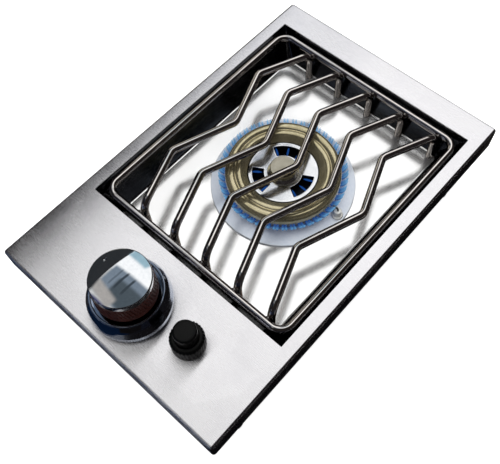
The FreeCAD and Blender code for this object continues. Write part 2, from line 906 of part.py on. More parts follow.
def make_gas_pipe():
    z = gas_line_height
    pipe_y = knob_y - valve_length / 2 - pipe_radius
    hex_start = box_inner_y - inlet_hex_length
    socket_start = hex_start - inlet_socket_length
    pipe_end = socket_start + inlet_socket_depth
    corner = (pipe_run_x, pipe_y, z)
    outer = bent_bar([(pipe_end_x, pipe_y, z), corner, (pipe_run_x, pipe_end, z)], [pipe_bend],
                     pipe_radius)
    inner = bent_bar([(pipe_end_x - pipe_wall, pipe_y, z), corner, (pipe_run_x, box_inner_y, z)],
                     [pipe_bend], pipe_radius - pipe_wall)
    spigot_hole = cylinder_y(knob_x, z, pipe_y, knob_y, spigot_radius + seat_clearance)
    pieces["gas_pipe"] = outer.cut([inner, spigot_hole])

    locknut_end = box_half_y + locknut_length
    thread_end = box_half_y + inlet_reach - inlet_nose
    nose_end = thread_end + inlet_nose
    socket = cylinder_y(pipe_run_x, z, socket_start, hex_start, inlet_socket)
    socket = socket.cut(cylinder_y(pipe_run_x, z, socket_start, pipe_end, pipe_radius + seat_clearance))
    hexagonal = hexagon((pipe_run_x, hex_start, z), (0, 1, 0), inlet_flats, inlet_hex_length)
    shank = cylinder_y(pipe_run_x, z, box_inner_y, locknut_end, inlet_shank)
    thread = cylinder_y(pipe_run_x, z, locknut_end, thread_end, inlet_thread)
    nose = Part.makeCone(inlet_thread, inlet_thread - inlet_nose, inlet_nose,
                         Vector(pipe_run_x, thread_end, z), Vector(0, 1, 0))
    fitting = socket.fuse([hexagonal, shank, thread, nose])
    pieces["inlet_fitting"] = fitting.cut(cylinder_y(pipe_run_x, z, socket_start, nose_end, inlet_bore))
    nut = hexagon((pipe_run_x, box_half_y, z), (0, 1, 0), inlet_flats, locknut_length)
    nut_bore = cylinder_y(pipe_run_x, z, box_half_y, locknut_end, inlet_shank + seat_clearance)
    pieces["inlet_locknut"] = nut.cut(nut_bore)


def bell_and_tube(x, z, front, end, bell, tube):
    bell_end = bell_front + bell_length
    cone = Part.makeCone(bell, tube, bell_cone_length, Vector(x, bell_end, z), Vector(0, 1, 0))
    straight = cylinder_y(x, z, bell_end, end, tube)
    return cylinder_y(x, z, front, bell_end, bell).fuse([cone, straight])


def make_mixing_tube():
    x, z = knob_x, gas_line_height
    tube_end = burner_y - bowl_radius - seat_clearance
    tube = bell_and_tube(x, z, bell_front, tube_end, bell_radius, tube_radius)
    hollow = bell_and_tube(x, z, bell_front + tube_wall, tube_end, bell_radius - tube_wall,
                           tube_radius - tube_wall)
    jet_hole = cylinder_y(x, z, bell_front, bell_front + tube_wall,
                          jet_across_flats / math.sqrt(3) + moving_clearance)
    middle = bell_front + bell_length / 2
    half_window = shutter_window_length / 2
    window = box(x - 2 * bell_radius, x + 2 * bell_radius, middle - half_window, middle + half_window,
                 z - shutter_window / 2, z + shutter_window / 2)
    pieces["mixing_tube"] = tube.cut([hollow, jet_hole, window])

    bore = bell_radius + moving_clearance
    outer = bore + shutter_wall
    low, high = middle - shutter_length / 2, middle + shutter_length / 2
    shutter = cylinder_y(x, z, low, high, outer).cut(cylinder_y(x, z, low, high, bore))
    screw_hole = cylinder(x, middle, z - 2 * bell_radius, z, shutter_screw + seat_clearance)
    pieces["air_shutter"] = shutter.cut([window, screw_hole])
    head_z = z - outer - shutter_screw_head_height
    screw = cylinder(x, middle, head_z, z - bore, shutter_screw)
    head = cylinder(x, middle, head_z, z - outer, shutter_screw_head)
    pieces["shutter_screw"] = screw.fuse(head)


def make_igniter():
    x, y, z = igniter_x, igniter_y, plate_top
    neck_top = z + module_neck_height
    flange_low = plate_under - module_flange_height
    floor = module_bottom + module_wall
    cell_top = floor + cell_length
    cell_well = cell_radius + moving_clearance
    plunger_well = plunger_radius + moving_clearance
    pieces["igniter_module"] = turned(x, y, [
        (0, module_bottom),
        (module_radius, module_bottom, module_wall),
        (module_radius, flange_low),
        (module_flange, flange_low),
        (module_flange, plate_under),
        (module_neck, plate_under),
        (module_neck, neck_top),
        (plunger_well, neck_top),
        (plunger_well, cell_top),
        (cell_well, cell_top),
        (cell_well, floor),
        (0, floor),
    ])
    shoulder = cell_top - cell_nub_height
    nub_radius = contact_spring_radius + cell_nub_height
    pieces["battery_cell"] = turned(x, y, [
        (0, floor),
        (cell_radius, floor),
        (cell_radius, shoulder),
        (nub_radius, shoulder),
        (nub_radius, cell_top),
        (0, cell_top),
    ])

    collar_top = z + collar_height
    step_radius = button_radius + moving_clearance
    flange_well = button_flange + moving_clearance
    neck_bore = module_neck + seat_clearance
    collar = turned(x, y, [
        (neck_bore, z),
        (collar_radius, z),
        (collar_radius, collar_top, collar_round),
        (step_radius, collar_top),
        (step_radius, collar_top - collar_lip),
        (flange_well, collar_top - collar_lip),
        (flange_well, neck_top),
        (neck_bore, neck_top),
    ])
    cutters = rib_grooves(x, y, z + collar_rib_band, collar_top, collar_radius, collar_rib_count,
                          collar_rib_depth, rib_groove)
    pieces["igniter_collar"] = collar.cut(cutters)

    flange_top = collar_top - collar_lip - seat_clearance
    flange_low = flange_top - button_flange_height
    plunger_low = flange_low - plunger_length
    top = z + button_height
    button = turned(x, y, [
        (0, plunger_low),
        (plunger_radius, plunger_low),
        (plunger_radius, flange_low),
        (button_flange, flange_low),
        (button_flange, flange_top),
        (button_radius, flange_top),
        (button_radius, top, button_round),
        (0, top),
    ])
    for row in button_groove_rows:
        groove_z = collar_top + row
        button = button.cut(ring(x, y, groove_z, groove_z + button_groove_width, 2 * button_radius,
                                 button_radius - button_groove_depth))
    pieces["igniter_button"] = button
    pieces["contact_spring"] = ring(x, y, cell_top, plunger_low, contact_spring_radius,
                                    contact_spring_radius - contact_spring_wall)


def tray_screw_places():
    """Each screw's place on the box wall and its inward direction."""
    places = []
    for side in (-1, 1):
        for end in (-1, 1):
            places.append((Vector(side * box_half_x, end * stud_reach, tray_screw_height),
                           Vector(-side, 0, 0)))
            places.append((Vector(side * box_half_x / 2, end * box_half_y, tray_screw_height),
                           Vector(0, -end, 0)))
    return places


def make_box():
    walls = centred_box(0, 0, box_half_x, box_half_y, 0, lip_top)
    lip = centred_box(0, 0, box_half_x + box_lip, box_half_y + box_lip, lip_top - box_sheet, lip_top)
    box_body = walls.fuse(lip).cut(centred_box(0, 0, box_inner_x, box_inner_y, 0, lip_top))
    cuts = []
    for row in vent_rows:
        for index in range(side_vent_count):
            y = (index - (side_vent_count - 1) / 2) * vent_pitch
            cuts.append(centred_box(0, y, box_half_x, vent_length / 2, row, row + vent_height))
    cuts.append(cylinder_y(pipe_run_x, gas_line_height, box_inner_y, box_half_y,
                           inlet_shank + seat_clearance))
    box_body = box_body.cut(cuts)

    tray_half_x, tray_half_y = box_inner_x - seat_clearance, box_inner_y - seat_clearance
    tray = centred_box(0, 0, tray_half_x, tray_half_y, 0, tray_rise)
    slots = [centred_box(0, 0, tray_half_x - box_sheet, tray_half_y - box_sheet, box_sheet, tray_rise)]
    for index in range(tray_vent_count):
        y = opening_y + (index - (tray_vent_count - 1) / 2) * tray_vent_pitch
        for side in (-1, 1):
            slots.append(centred_box(side * box_half_x / 2, y, tray_vent_length / 2, vent_height / 2,
                                     0, box_sheet))
    tray = tray.cut(slots)

    screws = []
    for place, inward in tray_screw_places():
        hole = Part.makeCylinder(screw_radius + seat_clearance, tray_screw_length, place, inward)
        box_body = box_body.cut(hole)
        tray = tray.cut(hole)
        shank = Part.makeCylinder(screw_radius, tray_screw_length, place, inward)
        head_start = place - inward * screw_head_height
        screws.append(shank.fuse(Part.makeCylinder(screw_head, screw_head_height, head_start, inward)))

    studs, nuts = [], []
    stud_low = plate_under - stud_length
    nut_top = lip_top - box_sheet
    nut_low = nut_top - nut_length
    for side in (-1, 1):
        x = side * (box_half_x + box_lip - stud_edge)
        for index in range(stud_row_count):
            row = index * stud_pitch - stud_reach
            studs.append(cylinder(x, row, stud_low, plate_under, stud_radius))
            hole = cylinder(x, row, nut_low, lip_top, stud_radius + seat_clearance)
            box_body = box_body.cut(hole)
            nut = hexagon((x, row, nut_low), (0, 0, 1), nut_flats, nut_length)
            nuts.append(nut.cut(hole))
    pieces["burner_box"] = box_body
    pieces["bottom_tray"] = tray
    pieces["tray_screws"] = group(screws)
    pieces["flange_studs"] = group(studs)
    pieces["stud_nuts"] = group(nuts)


def make_shield():
    half = box_inner_x - seat_clearance
    front, back = shield_y - shield_foot_depth, shield_y + shield_sheet
    wall = box(-half, half, shield_y, back, box_sheet, lip_top - shield_top_gap)
    foot = box(-half, half, front, back, box_sheet, box_sheet + shield_sheet)
    tray_wall = half - box_sheet - seat_clearance
    above_tray = tray_rise + seat_clearance
    cuts = [
        box(-half, -tray_wall, front, back, box_sheet, above_tray),
        box(tray_wall, half, front, back, box_sheet, above_tray),
        cylinder_y(knob_x, gas_line_height, front, back, tube_radius + moving_clearance),
        cylinder_y(pipe_run_x, gas_line_height, front, back, pipe_radius + moving_clearance),
        centred_box(igniter_x, shield_y, 2 * lead_radius, shield_foot_depth, box_sheet,
                    box_sheet + 2 * lead_height),
    ]
    pieces["heat_shield"] = wall.fuse(foot).cut(cuts)


def make_lead():
    z = box_sheet + lead_height
    tail = floor_z - ceramic_tail
    points = [
        (igniter_x, igniter_y, module_bottom),
        (igniter_x, igniter_y, z),
        (igniter_x, shield_y + lead_turn_gap, z),
        (electrode_x, electrode_y - lead_rear_gap, z),
        (electrode_x, electrode_y, z),
        (electrode_x, electrode_y, tail),
    ]
    bends = [lead_front_bend, lead_turn_bend, lead_turn_bend, lead_rear_bend]
    lead = bent_bar(points, bends, lead_radius)
    print("ignition lead bends", bends, "length", round(lead.Volume / (math.pi * lead_radius ** 2), 1))
    pieces["ignition_lead"] = lead
    half = lead_clip_width / 2
    clips = []
    for gap in lead_clip_gaps:
        row = shield_y + gap
        block = centred_box(igniter_x, row, half, half, box_sheet, z + lead_height)
        clips.append(block.cut(cylinder_y(igniter_x, z, row - half, row + half,
                                          lead_radius + seat_clearance)))
    pieces["lead_clips"] = group(clips)


make_plate()
make_pan()
make_grate()
make_trim_ring()
make_bowl()
make_port_ring()
make_brass_ring()
make_crown()
make_burner_middle()
make_electrode()
make_knob()
make_bezel()
make_valve()
make_valve_bracket()
make_gas_pipe()
make_mixing_tube()
make_igniter()
make_box()
make_shield()
make_lead()

os.makedirs("parts", exist_ok=True)
for name, shape in pieces.items():
    shape.exportStep(f"parts/{name}.step")
    size = shape.BoundBox
    print(f"{name:20s} solids {len(shape.Solids)} valid {shape.isValid()} volume {shape.Volume:10.1f} "
          f"z {size.ZMin:.2f} to {size.ZMax:.2f}")
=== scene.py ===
import math

import bmesh
import bpy
from mathutils import Matrix, Vector


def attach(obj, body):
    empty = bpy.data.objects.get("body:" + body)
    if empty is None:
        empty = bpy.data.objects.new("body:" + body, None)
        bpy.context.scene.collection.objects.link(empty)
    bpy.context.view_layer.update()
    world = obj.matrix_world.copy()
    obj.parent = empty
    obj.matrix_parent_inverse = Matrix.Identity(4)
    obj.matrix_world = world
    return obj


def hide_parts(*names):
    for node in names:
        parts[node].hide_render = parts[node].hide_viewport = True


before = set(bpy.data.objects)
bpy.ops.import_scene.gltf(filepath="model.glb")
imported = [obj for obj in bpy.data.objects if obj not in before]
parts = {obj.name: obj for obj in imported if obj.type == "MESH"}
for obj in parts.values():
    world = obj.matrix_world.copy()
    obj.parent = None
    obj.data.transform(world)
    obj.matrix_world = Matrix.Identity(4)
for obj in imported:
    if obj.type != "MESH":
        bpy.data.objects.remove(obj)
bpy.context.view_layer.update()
print("frame loaded:", len(parts), "solids")


cameraLook = {
    "place": (260.25, -276.59, 733.99),  # mm, from the centre of the box's underside
    "right": (0.74194, 0.66986, -0.02863),
    "up": (-0.58452, 0.66716, 0.46178),
    "forward": (-0.32842, 0.32588, -0.88653),
    "lens": 47.93, "sensor": 36,  # mm
    "clip": (0.02, 60),  # m
}


def makeCamera(look):
    data = bpy.data.cameras.new("photoCamera")
    data.lens, data.sensor_width, data.sensor_fit = look["lens"], look["sensor"], "HORIZONTAL"
    data.clip_start, data.clip_end = look["clip"]
    camera = bpy.data.objects.new("photoCamera", data)
    bpy.context.scene.collection.objects.link(camera)
    right, up, back = Vector(look["right"]), Vector(look["up"]), -Vector(look["forward"])
    turn = Matrix((right, up, back)).transposed().to_4x4()
    camera.matrix_world = Matrix.Translation(Vector(look["place"]) / 1000) @ turn
    bpy.context.scene.camera = camera


makeCamera(cameraLook)

studio = {
    "fill": 0.6,  # the room's own soft light
    "softbox": {"place": (-0.52, 1.35, 2.45), "size": (2.08, 5.4), "radiance": 1.46},
    "floorSize": 30, "floorColour": "#F4F4F2", "floorFinish": {"Roughness": 0.9, "Specular IOR Level": 0.1},
    "floorGlow": 0.72,  # keeps the floor white and still lets the shadow show
    # the room is dark, and blue low down in front: where that fades, in room radii, and what is left of it
    "roomRadius": 5.0, "roomDark": "#2B2726", "roomBlue": "#141C2C",
    "roomFade": {"Z": (0.0, 0.75, 0.0), "Y": (-0.5, 0.4, 0.15)},
    # soft mirror images of mirror images, and no specks of light off the mirror bars
    "rays": {"blur_glossy": 2.0, "sample_clamp_indirect": 1.5, "caustics_reflective": False},
    # cards that only shiny metal mirrors: middle, size, colour, brightness and a tilt in degrees, if any
    "cards": {
        "skyNear": ((-1.70, 1.0, 2.4), (0.24, 0.9), "#E2E5EA", 0.2),
        "frontShade": ((-0.5, -0.55, 2.42), (2.02, 1.6), "#F2F2F0", 1.06),
        "skyFar": ((-1.90, 2.75, 2.4), (0.76, 2.6), "#E2E5EA", 1.35),
        "leftCard": ((-1.9, 0.9, 0.85), (0.9, 0.9), "#E8E4D8", 0.9, (0, 90, 0)),
        "frontCard": ((-0.67, -1.6, 0.72), (0.26, 0.22), "#E4E8F4", 1.3, (90, 0, 0)),
        "frontHaze": ((-0.6, -1.5, 0.28), (1.8, 0.5), "#6C7894", 0.9, (90, 0, 0)),
        "sparkCard": ((-0.33, -1.6, 0.85), (0.2, 0.14), "#DCE2F8", 1.3, (90, 0, 0)),
        "discSlate": ((-0.90, 1.02, 1.95), (0.22, 0.26), "#5F7088", 1.0),
        "discHaze": ((-0.74, 0.84, 1.95), (0.11, 0.12), "#8094B0", 1.0),
        # a dark card under the plate that only the metal mirrors: a painted shadow in what the aprons mirror
        # of the floor
        "mirroredShadowCard": ((0.015, -0.01, 0.002), (0.40, 0.56), "#0C0B0D", 1.0),
        "rightCloth": ((1.5, 0.0, 0.001), (2.7, 6.0), "#1C1817", 1.0),
        "blueCloth": ((-1.35, -0.6, 0.001), (3.0, 6.0), "#12243C", 1.0),
    },
    "softEdge": 0.13,  # m
    # the room that a perfect mirror, such as the knob's face, shows: soft-edged cards, the later ones lower
    "mirrorCards": {
        "ceilingRight": ((0.52, 1.2, 2.38), (1.4, 6.4), "#2B2827", 1.0),
        "ceilingBack": ((-0.95, 3.5, 2.38), (1.7, 2.3), "#2B2827", 1.0),
        "ceilingFront": ((-0.95, -1.35, 2.37), (1.7, 1.5), "#222A38", 1.0),
        "tealPane": ((-1.12, 0.95, 2.36), (0.90, 0.40), "#BFE3F2", 0.95, (0, 0, -6)),
        "slateWall": ((-0.775, -0.04, 2.35), (1.45, 1.0), "#8F9DAC", 1.0),
        "slateShade": ((-0.50, -0.14, 2.34), (1.1, 0.72), "#5C676F", 1.0),
        "postLeft": ((-1.13, 0.13, 2.33), (0.08, 0.60), "#707C88", 1.0),
        "postMiddle": ((-0.91, 0.13, 2.33), (0.11, 0.64), "#434C55", 1.0),
        "postRight": ((-0.64, 0.11, 2.33), (0.10, 0.60), "#454E56", 1.0),
        "tanPetal": ((-1.06, -0.38, 2.32), (1.0, 0.44), "#CCC6C1", 1.0, (0, 0, -10)),
        "violetLine": ((-1.0, -0.62, 2.31), (1.6, 0.18), "#3A3A78", 1.0),
        "darkWall": ((-2.12, 0.25, 2.30), (1.46, 2.9), "#383A3D", 1.0, (0, 0, 3)),
    },
}


def colour(code):  # sRGB hex to the linear colour Blender works in
    values = [int(code[i:i + 2], 16) / 255 for i in (1, 3, 5)]
    return (*[v / 12.92 if v <= 0.04045 else ((v + 0.055) / 1.055) ** 2.4 for v in values], 1)


def addNode(tree, kind, settings=None, inputs=None, links=None):
    node = tree.nodes.new(kind)
    for key, value in (settings or {}).items():
        setattr(node, key, value)
    for socket, value in (inputs or {}).items():
        node.inputs[socket].default_value = value
    for socket, source in (links or {}).items():
        tree.links.new(source, node.inputs[socket])
    return node


def newMaterial(name, inputs):
    material = bpy.data.materials.new(name)
    material.use_nodes = True
    shader = material.node_tree.nodes["Principled BSDF"]
    for socket, value in inputs.items():
        shader.inputs[socket].default_value = value
    return material, material.node_tree, shader


def seenDirectly(tree):  # 1 for rays from the eye, a mirror or glass, which see the white surroundings
    path = addNode(tree, "ShaderNodeLightPath")
    mirror = addNode(tree, "ShaderNodeMath", {"operation": "MAXIMUM"},
                     links={0: path.outputs["Is Camera Ray"], 1: path.outputs["Is Glossy Ray"]})
    both = addNode(tree, "ShaderNodeMath", {"operation": "MAXIMUM"},
                   links={0: mirror.outputs[0], 1: path.outputs["Is Transmission Ray"]})
    return both.outputs[0]


def glowing(screen, name):  # a card or wall that only mirror rays can see
    screen.name = name
    screen.visible_camera = screen.visible_diffuse = screen.visible_shadow = False
    screen.visible_transmission = screen.visible_volume_scatter = False
    material = bpy.data.materials.new(name)
    material.use_nodes = True
    material.cycles.emission_sampling = "NONE"
    tree = material.node_tree
    tree.nodes.remove(tree.nodes["Principled BSDF"])
    glow = addNode(tree, "ShaderNodeEmission")
    tree.links.new(glow.outputs[0], tree.nodes["Material Output"].inputs["Surface"])
    screen.data.materials.append(material)
    return tree, addNode(tree, "ShaderNodeTexCoord").outputs["Object"]


def makeStudio(look):
    scene = bpy.context.scene
    scene.view_settings.view_transform = "Standard"
    for setting, value in look["rays"].items():
        setattr(scene.cycles, setting, value)
    world = bpy.data.worlds.new("whiteRoom")
    scene.world = world
    world.use_nodes = True
    tree = world.node_tree
    background = tree.nodes["Background"]
    background.inputs["Color"].default_value = (1, 1, 1, 1)
    strength = addNode(tree, "ShaderNodeMapRange", inputs={"To Min": look["fill"], "To Max": 1.0},
                       links={"Value": seenDirectly(tree)})
    tree.links.new(strength.outputs["Result"], background.inputs["Strength"])

    bpy.ops.object.select_all(action="DESELECT")
    bpy.ops.mesh.primitive_plane_add(size=look["floorSize"], location=(0, 0, 0))
    floor = bpy.context.object
    floor.name = "studioFloor"
    material, tree, shader = newMaterial("matt white floor", look["floorFinish"])
    shader.inputs["Base Color"].default_value = colour(look["floorColour"])
    shader.inputs["Emission Color"].default_value = (1, 1, 1, 1)
    glow = addNode(tree, "ShaderNodeMath", {"operation": "MULTIPLY"}, {1: look["floorGlow"]},
                   {0: seenDirectly(tree)})
    tree.links.new(glow.outputs[0], shader.inputs["Emission Strength"])
    floor.data.materials.append(material)

    box = look["softbox"]
    width, depth = box["size"]
    light = bpy.data.lights.new("ceilingSoftbox", "AREA")
    light.shape, light.size, light.size_y = "RECTANGLE", width, depth
    light.energy = box["radiance"] * math.pi * width * depth
    lamp = bpy.data.objects.new("ceilingSoftbox", light)
    lamp.location = box["place"]
    lamp.visible_camera = False
    scene.collection.objects.link(lamp)

    radius = look["roomRadius"]
    bpy.ops.mesh.primitive_uv_sphere_add(segments=48, ring_count=24, radius=radius)
    room = bpy.context.object
    tree, place = glowing(room, "darkRoom")
    axes = addNode(tree, "ShaderNodeSeparateXYZ", links={0: place}).outputs
    fades = []
    for axis, (start, end, rest) in look["roomFade"].items():
        fade = addNode(tree, "ShaderNodeMapRange", {"interpolation_type": "SMOOTHSTEP"},
                       {"From Min": start * radius, "From Max": end * radius, "To Min": 1.0, "To Max": rest},
                       {"Value": axes[axis]})
        fades.append(fade.outputs[0])
    share = addNode(tree, "ShaderNodeMath", {"operation": "MULTIPLY"}, links={0: fades[0], 1: fades[1]})
    tint = addNode(tree, "ShaderNodeMix", {"data_type": "RGBA"},
                   {"A": colour(look["roomDark"]), "B": colour(look["roomBlue"])},
                   {"Factor": share.outputs[0]})
    tree.links.new(tint.outputs["Result"], tree.nodes["Emission"].inputs["Color"])
    for name, card in look["cards"].items():
        makeCard(name, card)
    for name, card in look["mirrorCards"].items():
        makeCard(name, card, look["softEdge"])


def makeCard(name, card, softEdge=0):
    middle, (width, depth), tone, strength, *tilt = card
    edge, widest = 0.5, 0.4  # of the unit square that is scaled to the card
    turns = tilt[0] if tilt else (0, 0, 0)
    bpy.ops.mesh.primitive_plane_add(size=1, location=middle, rotation=[math.radians(turn) for turn in turns])
    screen = bpy.context.object
    screen.scale = (width, depth, 1)
    tree, place = glowing(screen, name)
    glow = tree.nodes["Emission"]
    glow.inputs["Color"].default_value = colour(tone)
    glow.inputs["Strength"].default_value = strength
    if softEdge:  # only perfectly sharp reflections see it, and it fades out over softEdge at its border
        share = addNode(tree, "ShaderNodeLightPath").outputs["Is Singular Ray"]
        axes = addNode(tree, "ShaderNodeSeparateXYZ", links={0: place}).outputs
        for axis, length in (("X", width), ("Y", depth)):
            off = addNode(tree, "ShaderNodeMath", {"operation": "ABSOLUTE"}, links={0: axes[axis]})
            inside = addNode(tree, "ShaderNodeMapRange", {"interpolation_type": "SMOOTHSTEP"},
                             {"From Min": edge - min(widest, softEdge / length), "From Max": edge,
                              "To Min": 1.0, "To Max": 0.0}, {"Value": off.outputs[0]})
            share = addNode(tree, "ShaderNodeMath", {"operation": "MULTIPLY"},
                            links={0: share, 1: inside.outputs[0]}).outputs[0]
        clear = addNode(tree, "ShaderNodeBsdfTransparent")
        mixed = addNode(tree, "ShaderNodeMixShader",
                        links={0: share, 1: clear.outputs[0], 2: glow.outputs[0]})
        tree.links.new(mixed.outputs[0], tree.nodes["Material Output"].inputs["Surface"])


makeStudio(studio)
print("camera and studio ready")


def patterned(tree, place, size, detail=2):  # noise whose one repeat is size mm along X, Y and Z
    scale = tuple(1000 / step for step in size)
    mapped = addNode(tree, "ShaderNodeMapping", inputs={"Scale": scale}, links={"Vector": place})
    return addNode(tree, "ShaderNodeTexNoise", inputs={"Scale": 1, "Detail": detail},
                   links={"Vector": mapped.outputs[0]}).outputs["Fac"]


def weather(tree, shader, look, grain, share):  # share is 0 where the surface is dark and 1 where it is pale
    smooth, rough = look["rough"]
    tint = addNode(tree, "ShaderNodeMix", {"data_type": "RGBA"},
                   {"A": colour(look["dark"]), "B": colour(look["pale"])}, {"Factor": share})
    gloss = addNode(tree, "ShaderNodeMapRange", inputs={"To Min": smooth, "To Max": rough},
                    links={"Value": share})
    bump = addNode(tree, "ShaderNodeBump", inputs={"Strength": 1.0, "Distance": look["bump"] / 1000},
                   links={"Height": grain})
    tree.links.new(tint.outputs["Result"], shader.inputs["Base Color"])
    tree.links.new(gloss.outputs[0], shader.inputs["Roughness"])
    tree.links.new(bump.outputs[0], shader.inputs["Normal"])


cloudBlend = (0.6, 1.4)  # the sums of grain and cloud that give dark and pale
brushings = {  # sheets are brushed along their plan, turned pieces round their axis
    "along": {"direction_type": "UV_MAP", "uv_map": "plan"},
    "round": {"direction_type": "RADIAL", "axis": "Z"},
}
quarterTurn = 0.25  # highlights stretch across the brushing


def metal(name, **look):
    # pale and dark colour, roughness range, then in mm the grain size along X, Y and Z, cloud size and bump
    # depth, and where they matter the metallic share, a glancing view's tint, the brushing's way and stretch
    material, tree, shader = newMaterial(name, {"Metallic": look.get("metallic", 1.0)})
    place = addNode(tree, "ShaderNodeTexCoord").outputs["Object"]
    grain = patterned(tree, place, look["grain"], detail=3)
    cloud = patterned(tree, place, (look["cloud"],) * 3)
    both = addNode(tree, "ShaderNodeMath", {"operation": "ADD"}, links={0: grain, 1: cloud})
    spread = addNode(tree, "ShaderNodeMapRange", {"interpolation_type": "SMOOTHSTEP"},
                     {"From Min": cloudBlend[0], "From Max": cloudBlend[1]}, {"Value": both.outputs[0]})
    weather(tree, shader, look, grain, spread.outputs[0])
    # a dark glancing tint, where given, paints shade on the parts seen at a slant
    if "edge" in look:
        shader.inputs["Specular Tint"].default_value = colour(look["edge"])
    if "brushed" in look:
        shader.inputs["Anisotropic"].default_value = look["stretch"]
        shader.inputs["Anisotropic Rotation"].default_value = quarterTurn
        along = addNode(tree, "ShaderNodeTangent", brushings[look["brushed"]])
        tree.links.new(along.outputs[0], shader.inputs["Tangent"])
    return material


def plastic(name, ior, sheen=0.5, **look):  # as metal, with one grain size, and a coat where it is glazed
    material, tree, shader = newMaterial(name, {"IOR": ior, "Specular IOR Level": sheen})
    place = addNode(tree, "ShaderNodeTexCoord").outputs["Object"]
    grain = patterned(tree, place, (look["grain"],) * 3)
    cloud = patterned(tree, place, (look["cloud"],) * 3)
    weather(tree, shader, look, grain, cloud)
    if "coat" in look:
        shader.inputs["Coat Weight"].default_value = look["coat"]
        shader.inputs["Coat Roughness"].default_value = look["coatRough"]
    return material


